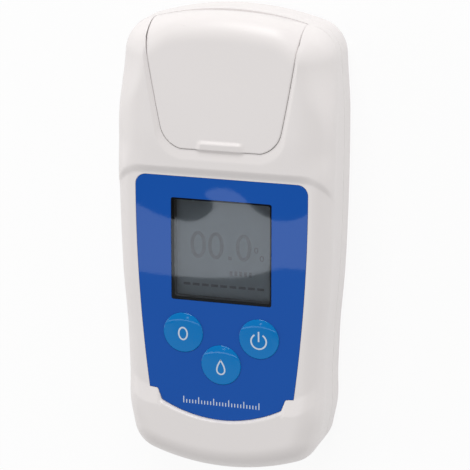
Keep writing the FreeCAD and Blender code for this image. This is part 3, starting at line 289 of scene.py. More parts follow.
def bumper_line(rise):
    """Right half of the line where the foot has risen by a share of its height.

    It is an arc, the ear's two sides, and an arc that leaves the case at its side.
    """
    low = rise * BUMPER_SLOPE
    inner = ear_corner(EAR_INNER_X - 0.1 * low, EAR_TOP_Y - 1.02 * low)
    foot = (EAR_FOOT_X - 0.05 * low, EAR_FOOT_Y - 0.1 * low)
    middle = (0.0, BUMPER_EDGE_Y - 0.03 * low)
    ear = (EAR_OUTER_X + 0.05 * low, EAR_TOP_Y - low + 0.001)
    flank = (EAR_OUTER_X + BUMPER_FLANK_X + 0.35 * low, EAR_TOP_Y + BUMPER_FLANK_Y - 0.75 * low)
    end = (HALF_WIDTH + 1.0, BUMPER_END_Y - 0.6 * low)
    first = arc(middle, (foot[0] / 2, (foot[1] + 3 * middle[1]) / 4), foot, 14)
    return np.concatenate([first, inner, arc(ear, flank, end, 14)])


LID_FOOT_Y = 26.0
LID_END_X = 20.1
LID_LAST_X = LID_END_X + 0.3
HINGE_Y = 54.3
HINGE_Z = 17.3
LID_GAP = 0.25
SEAM_GAP = 0.10


def lid_line(grow, grow_bottom):
    """Right half of the lid's plan, let out by grow at the sides and grow_bottom at the foot."""
    foot = LID_FOOT_Y - grow_bottom
    corner = (0.53 * LID_END_X, foot)
    bulge = (corner[0] + 3.5 + 0.7 * grow, foot + 2.0 + 0.3 * (grow_bottom - grow))
    side = (0.8 * LID_END_X + grow, LID_FOOT_Y + 5.7 - 0.3 * grow_bottom)
    waist = (0.885 * LID_END_X + grow, LID_FOOT_Y + 14.5)
    end = (LID_END_X + grow, HINGE_Y)
    return np.concatenate([[(0.0, foot)], arc(corner, bulge, side, 18), arc(side, waist, end, 30)[1:],
                           [(LID_LAST_X + grow, HALF_LENGTH + 4.0)]])


def lid_plan(grow):
    """Closed plan of the lid, let out all round and run out past the case's end."""
    line = lid_line(grow, grow)
    return mirrored(np.concatenate([line, [(0.0, line[-1, 1])]]))


def beyond(x, y, line):
    """Signed distance from a line that climbs from the middle outwards, positive below and outside it."""
    ax = np.abs(x)
    flat = np.stack([ax.ravel(), y.ravel()], axis=1)
    a, step = line[:-1], np.diff(line, axis=0)
    share = np.einsum("nsk,sk->ns", flat[:, None] - a, step) / (step ** 2).sum(1)
    foot = a + np.clip(share, 0, 1)[..., None] * step
    near = np.linalg.norm(flat[:, None] - foot, axis=2).min(axis=1).reshape(ax.shape)
    return np.where(y < np.interp(ax, line[:, 0], line[:, 1], right=1e3), near, -near)


def climb(x, y, lines, softness):
    """Share of a family of lines that a point lies beyond, each softened over a short distance."""
    total = sum(np.clip(0.5 + beyond(x, y, line) / (2 * softness), 0, 1) for line in lines)
    return total / len(lines)


SHOULDER_FOOT_Y = 19.0
SHOULDER_SLOPE = 2.1
SHOULDER_SHARE = 0.7
SHOULDER_STRAIGHT = 0.75
SHOULDER_EASE = 12.0
SHOULDER_ARC_X = 21.8
SHOULDER_END_X = HALF_WIDTH + 0.3
SHOULDER_END_Y = 10.5


def shoulder(x, y):
    """0 on the handle and 1 on the head: a short ramp and a long ease, each with its share.

    Both start at a line that turns down the handle in a quarter ellipse at its end.
    """
    run = np.clip((np.abs(x) - SHOULDER_ARC_X) / (SHOULDER_END_X - SHOULDER_ARC_X), 0, 1)
    foot = SHOULDER_END_Y + (SHOULDER_FOOT_Y - SHOULDER_END_Y) * np.sqrt(1 - run ** 2)
    t = np.clip((y - foot) / SHOULDER_SLOPE, 0, 1)
    ramp = SHOULDER_STRAIGHT * t + (1 - SHOULDER_STRAIGHT) * eased(t)
    return SHOULDER_SHARE * ramp + (1 - SHOULDER_SHARE) * eased((y - foot) / SHOULDER_EASE)


DISH_DEPTH = 0.7
DISH_SIDE = 1.3
DISH_BOTTOM = 4.0
DISH_SOFT = 0.2
DISH_FROM_Y = 19.0
BUMPER_SOFT = 0.34
BUMPER_TO_Y = -20.0
CLIMB_LINES = 12


def front_height(x, y):
    """Height of the front skin: handle face raised to the head at the shoulder and foot, less the dish."""
    shares = np.linspace(0, 1, CLIMB_LINES)
    low, high = y < BUMPER_TO_Y, y > DISH_FROM_Y
    bumper = np.zeros_like(x)
    bumper[low] = climb(x[low], y[low], [bumper_line(s) for s in shares], BUMPER_SOFT)
    share = np.where(y > 0, shoulder(x, y), bumper)
    handle = HANDLE_FACE - fillet(depth(x, y), HANDLE_ROUNDING)
    z = handle + (head_height(x, y, FACE) - handle) * share
    seat_lines = [lid_line(LID_GAP + (DISH_SIDE - LID_GAP) * s, LID_GAP + (DISH_BOTTOM - LID_GAP) * s)
                  for s in shares]
    seat = climb(x[high], y[high], seat_lines, DISH_SOFT)
    z[high] = np.minimum(z[high], FACE - DISH_DEPTH * (1 - seat))
    return z


def columns(first, second, reach, counts):
    """Places across each row: even up to first, even up to second, then closer towards the edge."""
    return np.concatenate([first * steps(0, 1, counts[0]), first + (second - first) * steps(0, 1, counts[1]),
                           second + (reach - second) * (1 - (1 - np.linspace(0, 1, counts[2])) ** 2)], axis=1)


SEAM_INSIDE = 1.2
SEAM_OUTSIDE = 2.4
SEAM_FROM_Y = 33.0
FULL_REACH = 24.0


def face_columns(y, reach):
    """Places across each row from the middle to the edge, finer along the lid's seam and at the edge."""
    seam_line = lid_line(0, 0)
    seam = np.interp(np.maximum(y, SEAM_FROM_Y), seam_line[:, 1], seam_line[:, 0])
    scale = np.clip(reach / FULL_REACH, 0, 1)
    return columns((seam - SEAM_INSIDE) * scale, (seam + SEAM_OUTSIDE) * scale, reach, (27, 14, 26))


def placed(name, data):
    """New object in the scene."""
    obj = bpy.data.objects.new(name, data)
    bpy.context.scene.collection.objects.link(obj)
    return obj


def closed_solid(name, loops, caps):
    """Mesh through a stack of closed loops of points, rows by points by three, in millimetres.

    Each quad joins two neighbours of one loop to the same two of the next. Caps close the first
    and last loop where they have a width; elsewhere the ends shrink to a line and are merged.
    """
    rows, count = loops.shape[:2]
    index = np.arange(rows * count).reshape(rows, count)
    here, there = index[:-1], index[1:]
    quads = np.stack([here, np.roll(here, -1, 1), np.roll(there, -1, 1), there], axis=-1).reshape(-1, 4)
    faces = quads.tolist() + ([index[0][::-1].tolist(), index[-1].tolist()] if caps else [])
    mesh = bpy.data.meshes.new(name)
    mesh.from_pydata((loops.reshape(-1, 3) * MM).tolist(), [], faces)
    shape = bmesh.new()
    shape.from_mesh(mesh)
    bmesh.ops.remove_doubles(shape, verts=shape.verts, dist=0.0015 * MM)
    bmesh.ops.dissolve_degenerate(shape, edges=shape.edges, dist=1e-7)
    bmesh.ops.recalc_face_normals(shape, faces=shape.faces)
    shape.to_mesh(mesh)
    shape.free()
    return placed(name, mesh)


def at_height(plan, z):
    """Points of a plan in space, at one height or at a height for each."""
    return np.column_stack([plan, np.broadcast_to(z, len(plan))])


def pillar(plan, *levels):
    """Upright solid on a closed plan; each level is a height, or a height with its own plan."""
    rings = [level if isinstance(level, tuple) else (level, plan) for level in levels]
    return closed_solid("pillar", np.stack([at_height(ring, z) for z, ring in rings]), True)


def oblong(x0, y0, x1, y1):
    """Rectangle between two corners."""
    return np.array([(x0, y0), (x1, y0), (x1, y1), (x0, y1)])


def block(x0, y0, z0, x1, y1, z1):
    """Block between two corners."""
    return pillar(oblong(x0, y0, x1, y1), z0, z1)


def round_plan(radius, x, y, count):
    """Circle of points."""
    return np.array([x, y]) + radius * directions(steps(0, 2 * np.pi, count))


def plate_plan(size_x, size_y, corner, x, y, count=10):
    """Rectangle with round corners: each corner's centre plus its radius times a quarter turn."""
    turn = np.linspace(0, np.pi / 2, count)
    quarters = [np.array([sx * (size_x / 2 - corner), sy * (size_y / 2 - corner)])
                + corner * directions(turn + k * np.pi / 2)
                for k, (sx, sy) in enumerate(((1, 1), (-1, 1), (-1, -1), (1, -1)))]
    return np.concatenate(quarters) + np.array([x, y])


def carve(body, tool, how="DIFFERENCE"):
    """Cuts, joins or crosses one closed solid with another and keeps the result as the body's mesh."""
    step = body.modifiers.new("carve", "BOOLEAN")
    step.operation = how
    step.solver = "MANIFOLD"
    step.object = tool
    made = bpy.data.meshes.new_from_object(body.evaluated_get(bpy.context.evaluated_depsgraph_get()))
    body.modifiers.remove(step)
    old, body.data = body.data, made
    bpy.data.meshes.remove(old)
    bpy.data.objects.remove(tool)
    return body


BARREL_RADIUS = 6.75
BARREL_END_RADIUS = 4.8


def hinge_solid(radius_middle, radius_end, half):
    """Round bar on the hinge line whose radius follows a circle from its middle to its ends."""
    run = np.array([(-half, radius_end), (half, radius_end)])
    if radius_middle != radius_end:
        run = arc(run[0], (0, radius_middle), run[1], 25)
    turn = steps(0, 2 * np.pi, 96)
    x = np.repeat(run[:, :1], len(turn), axis=1)
    loops = np.stack([x, HINGE_Y + run[:, 1:] * np.cos(turn), HINGE_Z + run[:, 1:] * np.sin(turn)], axis=-1)
    return closed_solid("barrel", loops, True)


def row_solid(name, half, y, height, walls, caps):
    """Closed solid of rows across the case: up the right wall, over the skin and down the left wall.

    Half holds the places across the right half of each row, and height gives the skin over them.
    """
    x = np.concatenate([half[:, ::-1], -half[:, 1:]], axis=1)
    rows = np.broadcast_to(y, x.shape).copy()
    skin = np.stack([x, rows, height(x, rows)], axis=-1)
    right = np.stack(walls, axis=1)
    left = (right * np.array([-1.0, 1.0, 1.0]))[:, ::-1]
    return closed_solid(name, np.concatenate([right, skin, left], axis=1), caps)


def shell_solid(name, height, sides):
    """Closed half of the case, with a row across it at each point of the outline.

    Sides are pairs of the wall's height and its distance in from the outline.
    """
    edge = outline(0.0)
    reach, y = edge[:, :1], edge[:, 1:]
    walls = [at_height(outline(inset), z) for z, inset in sides]
    return row_solid(name, face_columns(y, reach), y, height, walls, False)


def hollow_solid(rounding, low, high, at_top):
    """The space inside the walls: the drawn-in outline with its far edge rounded by a quarter circle."""
    turn = np.linspace(0, np.pi / 2, 7)
    insets = WALL + rounding * (1 - np.cos(turn))
    rise = rounding * np.sin(turn)
    levels = (high - rounding + rise) if at_top else (low + rounding - rise)
    near = low if at_top else high
    return pillar(None, (near, mirrored(outline(WALL))),
                  *[(z, mirrored(outline(i))) for z, i in zip(levels, insets)])


DECK_Z = 18.8
DECK_THICKNESS = 2.0
WELL_WALL = 1.4
STAGE_Y = 37.6
STAGE_HOLE = (22.5, 13.9, 3.7)
STAGE_HOLE_Z = 15.0
TROUGH_FOOT_Z = 13.7
LABEL_RECESS_Z = 22.9
LABEL_GAP = 0.08
LABEL_TOP_Y = 18.5
LABEL_HALF = 23.05
LABEL_WAIST_X = 22.2
LABEL_BOTTOM_X = 19.6
LABEL_CORNER = 2.8
WINDOW_Y = -0.83
WINDOW_SEAT = (31.05, 31.35, 2.6)
WINDOW_HOLE = (28.05, 28.35, 0.6)


def label_plan(inset):
    """Closed plan of the label, drawn in all round: straight top, round corners, waisted sides, ears."""
    top, x, corner = LABEL_TOP_Y - inset, LABEL_HALF - inset, LABEL_CORNER
    low_x, ear_y = LABEL_BOTTOM_X - inset, EAR_TOP_Y + inset
    side_y, bend = top - corner, corner * (1 - np.sqrt(0.5))
    foot_x, foot_y = EAR_FOOT_X - inset, EAR_FOOT_Y + inset
    return mirrored(np.concatenate([
        arc((0, BUMPER_EDGE_Y + inset), (foot_x / 2, (foot_y + 3 * BUMPER_EDGE_Y) / 4 + inset),
            (foot_x - 0.5, foot_y - 0.2), 24),
        arc((foot_x - 0.3, foot_y - 0.1), (foot_x, foot_y + 0.2), (foot_x + 0.15, foot_y + 0.5), 5),
        ear_corner(EAR_INNER_X - inset, ear_y),
        arc((low_x, ear_y + 0.15), (LABEL_WAIST_X - inset, (side_y + ear_y) / 2), (x, side_y), 24),
        arc((x, side_y), (x - bend, top - bend), (x - corner, top), 10)[1:],
        [(0, top)]]))


KEY_PLACES = {"zero": (-10.28, -23.4), "power": (10.28, -23.4), "measure": (0.0, -31.4)}
KEY_RADIUS = 5.375
KEY_GAP = 0.1
SCREW_PLACES = [(23.2, 31.0), (-23.2, 31.0), (19.6, -47.5), (-19.6, -47.5)]
CLEAR_X = 30.0
CLEAR_Y = 70.0
CLEAR_Z = FACE + 2
WELL_GROW = LID_GAP + WELL_WALL
TROUGH_HALF = LID_LAST_X + LID_GAP

front = shell_solid("shell_front", front_height,
                    [(SPLIT_Z, SPLIT_GROOVE), (SPLIT_Z + SPLIT_GROOVE, 0.0), (11.4, 0.0), (12.7, 0.0)])
space = hollow_solid(HANDLE_ROUNDING - WALL, SPLIT_Z - 1.0, INNER_Z, True)
carve(space, pillar(lid_plan(WELL_GROW), DECK_Z - DECK_THICKNESS, FACE))
trough_wall = hinge_solid(BARREL_RADIUS + WELL_GROW, BARREL_END_RADIUS + WELL_GROW, TROUGH_HALF + WELL_WALL)
carve(space, carve(trough_wall, block(-CLEAR_X, 0, 0, CLEAR_X, CLEAR_Y, DECK_Z), "INTERSECT"))
carve(front, space)
carve(front, pillar(lid_plan(SEAM_GAP), DECK_Z, CLEAR_Z))
end_half = LID_END_X + 2 * SEAM_GAP
carve(front, hinge_solid(BARREL_RADIUS + LID_GAP, BARREL_END_RADIUS + LID_GAP, end_half))
carve(front, block(-end_half, HINGE_Y, TROUGH_FOOT_Z, end_half, CLEAR_Y, DECK_Z + 1))
carve(front, pillar(plate_plan(*STAGE_HOLE, 0, STAGE_Y), STAGE_HOLE_Z, DECK_Z + 1))
carve(front, pillar(label_plan(-LABEL_GAP), LABEL_RECESS_Z, CLEAR_Z))
carve(front, pillar(plate_plan(*WINDOW_SEAT, 0, WINDOW_Y), LABEL_RECESS_Z - 1.0, FACE))
carve(front, pillar(plate_plan(*WINDOW_HOLE, 0, WINDOW_Y), INNER_Z - 2, FACE))
for spot in KEY_PLACES.values():
    carve(front, pillar(round_plan(KEY_RADIUS + KEY_GAP, *spot, 144), INNER_Z - 2, FACE))


def feed(node, feeds):
    """Gives inputs of a node a value, or the output of another node."""
    for name, value in feeds.items():
        if isinstance(value, bpy.types.NodeSocket):
            node.id_data.links.new(value, node.inputs[name])
        else:
            node.inputs[name].default_value = value
    return node


def put(tree, kind, feeds=None, **settings):
    """Adds a shader node with its settings to a tree and feeds its inputs."""
    node = tree.nodes.new("ShaderNode" + kind)
    for name, value in settings.items():
        setattr(node, name, value)
    return feed(node, feeds or {})


SLOW_NOISE = (38.0, 3.0)
MIDDLE_NOISE = (260.0, 4.0)
FINE_DETAIL = 2.0
RIPPLE = 0.5


def surface_group(name):
    """Uneven tone, sheen and grain of a moulded or machined skin, read from Object coordinates.

    The colour is shaded by slow noise, the roughness is spread by finer noise, and the height
    adds a fine grain to a slower ripple.
    """
    group = bpy.data.node_groups.new(name, "ShaderNodeTree")
    for label, kind in (("Colour", "Color"), ("Roughness", "Float"), ("Tone", "Float"),
                        ("Sheen Spread", "Float"), ("Grain Scale", "Float")):
        group.interface.new_socket(label, in_out="INPUT", socket_type="NodeSocket" + kind)
    for label, kind in (("Colour", "Color"), ("Roughness", "Float"), ("Height", "Float")):
        group.interface.new_socket(label, in_out="OUTPUT", socket_type="NodeSocket" + kind)
    given = group.nodes.new("NodeGroupInput").outputs
    where = put(group, "TexCoord").outputs["Object"]

    def noise(scale, detail):
        feeds = {"Vector": where, "Scale": scale, "Detail": detail}
        return put(group, "TexNoise", feeds).outputs["Fac"]

    def maths(operation, a, b):
        return put(group, "Math", {0: a, 1: b}, operation=operation).outputs[0]

    slow, middle, fine = noise(*SLOW_NOISE), noise(*MIDDLE_NOISE), noise(given["Grain Scale"], FINE_DETAIL)
    shade = maths("ADD", 1.0, maths("MULTIPLY", maths("SUBTRACT", slow, 0.5), given["Tone"]))
    tint = put(group, "VectorMath", {0: given["Colour"], "Scale": shade}, operation="SCALE")
    spread = maths("MULTIPLY", maths("SUBTRACT", middle, 0.5), given["Sheen Spread"])
    feed(group.nodes.new("NodeGroupOutput"), {
        "Colour": tint.outputs[0], "Roughness": maths("ADD", given["Roughness"], spread),
        "Height": maths("ADD", fine, maths("MULTIPLY", middle, RIPPLE))})
    return group


SKIN = surface_group("moulded_skin")
BUMP_HEIGHT = 0.2


def finish_for(name, colour, roughness, tone=0.04, spread=0.06, grain=1500.0, bump=0.02, metal=0.0,
               clear=0.0, ior=1.49):
    """A material whose colour, roughness and bump come from the moulded skin group."""
    material = bpy.data.materials.new(name)
    material.use_nodes = True
    tree = material.node_tree
    skin = put(tree, "Group", {"Colour": (*colour, 1), "Roughness": roughness, "Tone": tone,
                               "Sheen Spread": spread, "Grain Scale": grain}, node_tree=SKIN).outputs
    lift = put(tree, "Bump", {"Strength": bump, "Distance": BUMP_HEIGHT * MM, "Height": skin["Height"]})
    feed(tree.nodes["Principled BSDF"], {
        "Base Color": skin["Colour"], "Roughness": skin["Roughness"], "Normal": lift.outputs["Normal"],
        "Metallic": metal, "Transmission Weight": clear, "IOR": ior})
    return material


SHARP_ANGLE = 32.0


def dress(obj, body, slot, material, *nodes):
    """Gives a finished piece its material, its smooth shading and its body, and hides the solids that it
    stands for.
    """
    obj.data.materials.clear()
    obj.data.materials.append(material)
    obj.data.shade_smooth()
    obj.data.set_sharp_from_angle(angle=np.radians(SHARP_ANGLE))
    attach(obj, body)
    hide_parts(*nodes)


white_plastic = finish_for("white_moulded_abs", (0.76, 0.724, 0.714), 0.36, tone=0.03, grain=2200.0,
                           bump=0.05)
dress(front, "case", "case_white", white_plastic, "front_case")


# Rear shell
# The lower half of the housing, moulded in the same white ABS. Its back is slightly arched so
# that it stands on two feet, and it holds the battery compartment and four sunk screws.
BACK_ROUNDING = 4.6
ARCH_TOP_Y = 24.0
ARCH_BOTTOM_Y = -42.0
ARCH_HEIGHT = 1.8
DOOR_HALF = 9.0
DOOR_TOP_Y = 9.6
DOOR_INNER_Z = 3.4
DOOR_GAP = 0.12
DOOR_TRAVEL = 9.0
CELL_TOP_Y = 6.4
CELL_BOTTOM_Y = -36.9
TONGUE_TOPS = [2.0, -16.0, -34.0]
TONGUE_OUT = 1.0
TONGUE_LENGTH = 6.0
TONGUE_Z = DOOR_INNER_Z - 0.8
TUB_HALF = 5.6
TUB_WALL = 1.3
TUB_LOW_Y = CELL_BOTTOM_Y - 3.3
TUB_HIGH_Y = CELL_TOP_Y + 1.7
TUB_TOP_Z = 12.6
DOOR_SEAT_HALF = 11.6
DOOR_SEAT_TOP_Y = DOOR_TOP_Y + 1.6
DOOR_SEAT_Z = 5.12
REAR_TROUGH_GAP = 1.85
REAR_TROUGH_HALF = TROUGH_HALF + 1.6
SCREW_BOSS_RADIUS = 2.7
SCREW_HEAD_RADIUS = 2.4
SCREW_SHANK_RADIUS = 1.3
SCREW_SEAT_Z = 2.0


def arch(y):
    """Rise of the back: the circle through the two ends and the top of the arch."""
    middle, half = (ARCH_TOP_Y + ARCH_BOTTOM_Y) / 2, (ARCH_TOP_Y - ARCH_BOTTOM_Y) / 2
    radius = (half ** 2 + ARCH_HEIGHT ** 2) / (2 * ARCH_HEIGHT)
    along = np.clip(y - middle, -half, half)
    return np.clip(np.sqrt(radius ** 2 - along ** 2) - radius + ARCH_HEIGHT, 0, None)


def back_height(x, y):
    """Height of the back: the higher of the rounded edge and the arch, blended by a fourth power."""
    return (fillet(depth(x, y), BACK_ROUNDING) ** 4 + arch(y) ** 4) ** 0.25


def rear_form():
    """The rear half as a closed solid, before it is hollowed."""
    return shell_solid("shell_rear", back_height,
                       [(SPLIT_Z, SPLIT_GROOVE), (SPLIT_Z - SPLIT_GROOVE, 0.0), (8.0, 0.0), (6.2, 0.0)])


def door_block(gap):
    """Block as wide, long and thick as the battery door, let out by a gap."""
    return block(-DOOR_HALF - gap, -CLEAR_Y, -1, DOOR_HALF + gap, DOOR_TOP_Y + gap, DOOR_INNER_Z + gap)


def tub_block(grow, low, high):
    """Block as wide and long as the space for the cell, let out at its sides."""
    return block(-TUB_HALF - grow, TUB_LOW_Y - grow, low, TUB_HALF + grow, TUB_HIGH_Y + grow, high)


rear = rear_form()
space = hollow_solid(BACK_ROUNDING - WALL, WALL, SPLIT_Z + 1.0, False)
carve(space, block(-DOOR_SEAT_HALF, -CLEAR_Y, 0, DOOR_SEAT_HALF, DOOR_SEAT_TOP_Y, DOOR_SEAT_Z))
carve(space, tub_block(TUB_WALL, 0, SPLIT_Z + 2))
for x, y in SCREW_PLACES:
    carve(space, pillar(round_plan(SCREW_BOSS_RADIUS, x, y, 40), 0, SPLIT_Z + 2))
carve(rear, space)
carve(rear, tub_block(TUB_WALL, SPLIT_Z - 1, TUB_TOP_Z), "UNION")
carve(rear, tub_block(0, -1, TUB_TOP_Z + 0.4))
carve(rear, door_block(DOOR_GAP))
half = DOOR_HALF + TONGUE_OUT + DOOR_GAP
slot_z = TONGUE_Z - DOOR_GAP
for top in TONGUE_TOPS:
    low_y = top - TONGUE_LENGTH - DOOR_TRAVEL - DOOR_GAP
    carve(rear, block(-half, low_y, slot_z, half, top + DOOR_GAP, DOOR_INNER_Z + DOOR_GAP))
    carve(rear, block(-half, low_y, -1, half, top - DOOR_TRAVEL + DOOR_GAP, slot_z + DOOR_GAP))
for x, y in SCREW_PLACES:
    head, shank = (round_plan(radius, x, y, 48) for radius in (SCREW_HEAD_RADIUS, SCREW_SHANK_RADIUS))
    levels = (-1, head), (SCREW_SEAT_Z - 0.1, head), (SCREW_SEAT_Z, shank), (SPLIT_Z + 1, shank)
    carve(rear, pillar(None, *levels))
carve(rear, hinge_solid(BARREL_RADIUS + REAR_TROUGH_GAP, BARREL_END_RADIUS + REAR_TROUGH_GAP,
                        REAR_TROUGH_HALF))
dress(rear, "case", "case_white", white_plastic, "rear_case")


# Battery door
# The white door in the back. It slides towards the bottom end until its six tongues meet their
# notches, and has four grooves for the thumb at its upper end.
GRIP_RADIUS = 1.0
GRIP_SINK = 0.5
GRIP_HALF = 6.0
GRIP_FIRST_Y = DOOR_TOP_Y - 6.0
GRIP_PITCH = 2.0
GRIP_COUNT = 4

door = rear_form()
carve(door, door_block(0), "INTERSECT")
for top in TONGUE_TOPS:
    carve(door, block(-DOOR_HALF - TONGUE_OUT, top - TONGUE_LENGTH, TONGUE_Z,
                      DOOR_HALF + TONGUE_OUT, top, DOOR_INNER_Z), "UNION")
for y in GRIP_FIRST_Y - GRIP_PITCH * np.arange(GRIP_COUNT):
    ring = round_plan(GRIP_RADIUS, y, arch(y) - GRIP_SINK, 32)
    loops = [np.column_stack([np.full(len(ring), x), ring]) for x in (-GRIP_HALF, GRIP_HALF)]
    carve(door, closed_solid("grip", np.stack(loops), True))
dress(door, "battery_door", "case_white", white_plastic, "battery_door")


# Lid
# The white lid over the sample well, moulded in ABS with its finger lip. It wraps over the end
# of the case, where its barrel turns on a steel pin in the trough.
LID_DROP = 0.4
LID_TOP = FACE - LID_DROP
SEAM_ROLL = 0.35
SKIRT_Z = 19.1
LID_UNDER_Z = 22.0
LID_SKIRT = 1.5
LIP_RISE = 0.58
LIP_SEAM_SHARE = 0.7
LIP_FALL_RUN = 1.6
LIP_FOOT_X = 6.9
LIP_FLANK = 1.7
LIP_SLANT = 0.25
LIP_DEPTH = 2.7
LIP_STEP = 1.1
PIN_HOLE_RADIUS = 1.3
KNUCKLE_RADIUS = 4.95
KNUCKLE_CORE = 2.65
KNUCKLE_HALF = 11.05
lid_edge = lid_line(0, 0)


def lip(x, y):
    """Rise of the finger lip: a soft step along the lid times one across it, less a fall towards the seam."""
    up = y - LID_FOOT_Y
    fall = LIP_SEAM_SHARE + (1 - LIP_SEAM_SHARE) * np.clip(up / LIP_FALL_RUN, 0, 1)
    flanks = eased((LIP_FOOT_X - LIP_SLANT * up - np.abs(x)) / LIP_FLANK)
    return LIP_RISE * fall * flanks * eased((LIP_DEPTH - up) / LIP_STEP)


def lid_height(x, y):
    """Height of the lid: the head's skin lowered, plus the lip, less a small roll towards its seam."""
    return head_height(x, y, LID_TOP) + lip(x, y) - fillet(-beyond(x, y, lid_edge), SEAM_ROLL)


# The lid's rows lie close together on its rolled foot and its lip, and its last ones are the outline's own.
case_edge = outline(0.0)
end_rows = case_edge[case_edge[:, 1] > 58.0, 1]
lid_rows = np.concatenate([LID_FOOT_Y + SEAM_ROLL * (1 - np.cos(np.linspace(0, np.pi / 2, 7))),
                           np.linspace(LID_FOOT_Y + 0.42, LID_FOOT_Y + 4, 28), np.linspace(30.2, 33, 12),
                           np.linspace(33.5, 57.9, 50), end_rows])
lid_reach = np.minimum(np.interp(lid_rows, lid_edge[1:, 1], lid_edge[1:, 0]),
                       np.interp(lid_rows, case_edge[-60:, 1], case_edge[-60:, 0]))[:, None]
lid_reach[-1] = 0.0
shrink = np.clip(lid_reach / 10.5, 0, 1)
flank_in, flank_out = (LIP_FOOT_X - LIP_FLANK - 0.9) * shrink, (LIP_FOOT_X + 0.4) * shrink
lid_sides = np.column_stack([lid_reach[:, 0], lid_rows])
lid_form = row_solid("lid_form", columns(flank_in, flank_out, lid_reach, (8, 16, 28)), lid_rows[:, None],
                     lid_height, [at_height(lid_sides, z) for z in (5.0, 11.0, 12.6)], True)
lid = placed("lid_shell", lid_form.data.copy())
carve(lid, block(-CLEAR_X, 20, SKIRT_Z, CLEAR_X, CLEAR_Y, 30), "INTERSECT")
under = lid_line(-LID_SKIRT, -LID_SKIRT)
under_top_y = HINGE_Y - BARREL_RADIUS - LID_GAP
under_x = np.interp(under_top_y, under[1:, 1], under[1:, 0])
under = np.concatenate([under[under[:, 1] < under_top_y], [(under_x, under_top_y), (0, under_top_y)]])
carve(lid, pillar(mirrored(under), SKIRT_Z - 1, LID_UNDER_Z))
barrel = hinge_solid(BARREL_RADIUS, BARREL_END_RADIUS, LID_LAST_X)
carve(lid, carve(barrel, lid_form, "INTERSECT"), "UNION")
relief = hinge_solid(KNUCKLE_RADIUS, KNUCKLE_RADIUS, KNUCKLE_HALF)
carve(relief, block(-12, 40, 0, 12, HINGE_Y + 2.0, HINGE_Z - 0.5), "INTERSECT")
carve(relief, hinge_solid(KNUCKLE_CORE, KNUCKLE_CORE, 12.0))
carve(lid, relief)
carve(lid, hinge_solid(PIN_HOLE_RADIUS, PIN_HOLE_RADIUS, 25.0))
dress(lid, "lid", "case_white", white_plastic, "lid")


# Printed label
# A blue film with a gloss surface, printed from behind and stuck into the recess of the handle
# face. It has a square opening over the window and three round ones for the keys.
LABEL_TOP = 23.24
LABEL_BEVEL = 0.04
LABEL_KEY_GAP = 0.03
LABEL_CUT = (22, 25)
WINDOW_OPENING = (27.05, 27.35, 0.6)
label = pillar(label_plan(0.0), LABEL_RECESS_Z, LABEL_TOP - LABEL_BEVEL, (LABEL_TOP, label_plan(LABEL_BEVEL)))
carve(label, pillar(plate_plan(*WINDOW_OPENING, 0, WINDOW_Y), *LABEL_CUT))
for spot in KEY_PLACES.values():
    carve(label, pillar(round_plan(KEY_RADIUS + LABEL_KEY_GAP, *spot, 144), *LABEL_CUT))
blue_film = finish_for("blue_gloss_film", (0.007, 0.081, 0.385), 0.02, tone=0.05, spread=0.01, grain=900.0,
                       bump=0.003, ior=1.5)
dress(label, "case", "label_blue", blue_film, "label_panel")


# Tick marks on the label
# A row of thin pale ticks printed under the keys, every fifth one longer.
PRINT_LIFT = 0.012
TICK_FOOT_Y = -42.7
TICK_REACH = 10.3
TICK_COUNT = 26
TICK_HALF = 0.13
TICK_LONG = 1.8
TICK_SHORT = 1.0


def joined(name, parts):
    """Several meshes made one."""
    shape = bmesh.new()
    for part in parts:
        shape.from_mesh(part.data)
        bpy.data.objects.remove(part)
    mesh = bpy.data.meshes.new(name)
    shape.to_mesh(mesh)
    shape.free()
    return placed(name, mesh)


ticks = []
for i, x in enumerate(np.linspace(-TICK_REACH, TICK_REACH, TICK_COUNT)):
    length = TICK_LONG if i % 5 == 0 else TICK_SHORT
    plan = oblong(x - TICK_HALF, TICK_FOOT_Y, x + TICK_HALF, TICK_FOOT_Y + length)
    ticks.append(pillar(plan, LABEL_TOP - 0.02, LABEL_TOP + PRINT_LIFT))
print_white = finish_for("pale_print", (0.55, 0.62, 0.72), 0.3, tone=0.06, grain=3000.0, bump=0.01)
dress(joined("label_ticks", ticks), "case", "label_blue", print_white)


# Keys
# Three round caps of lighter blue plastic, slightly domed, each with a low crest across its
# upper third. Zero has a plain nought, power the usual ring and bar, measure a plain drop.
KEY_CREST_Z = 23.8
KEY_CREST_Y = 3.33
KEY_CREST_SOFT = 0.25
KEY_FOOT_Z = 19.5
KEY_FLANGE_Z = 20.4
KEY_ROLL = 0.2
KEY_FLANGE_RADIUS = KEY_RADIUS + 0.7
SIGN_SINK = 0.05
SIGN_WIDTH = 0.42


def key_height(x, y):
    """Height over a key: it falls from the crest, slowly to the foot side and fast to the head side.

    The crest is a low parabola; the distance from it is softened so that it turns without a corner,
    and the whole cap also falls a little to its sides.
    """
    off = KEY_CREST_Y - 0.053 * x ** 2 - y
    far = np.sqrt(off ** 2 + KEY_CREST_SOFT ** 2) - KEY_CREST_SOFT
    fall = np.where(off > 0, 0.04 * far + 0.0014 * far ** 2, 0.17 * far + 0.02 * far ** 2)
    return KEY_CREST_Z - fall - 0.009 * x ** 2


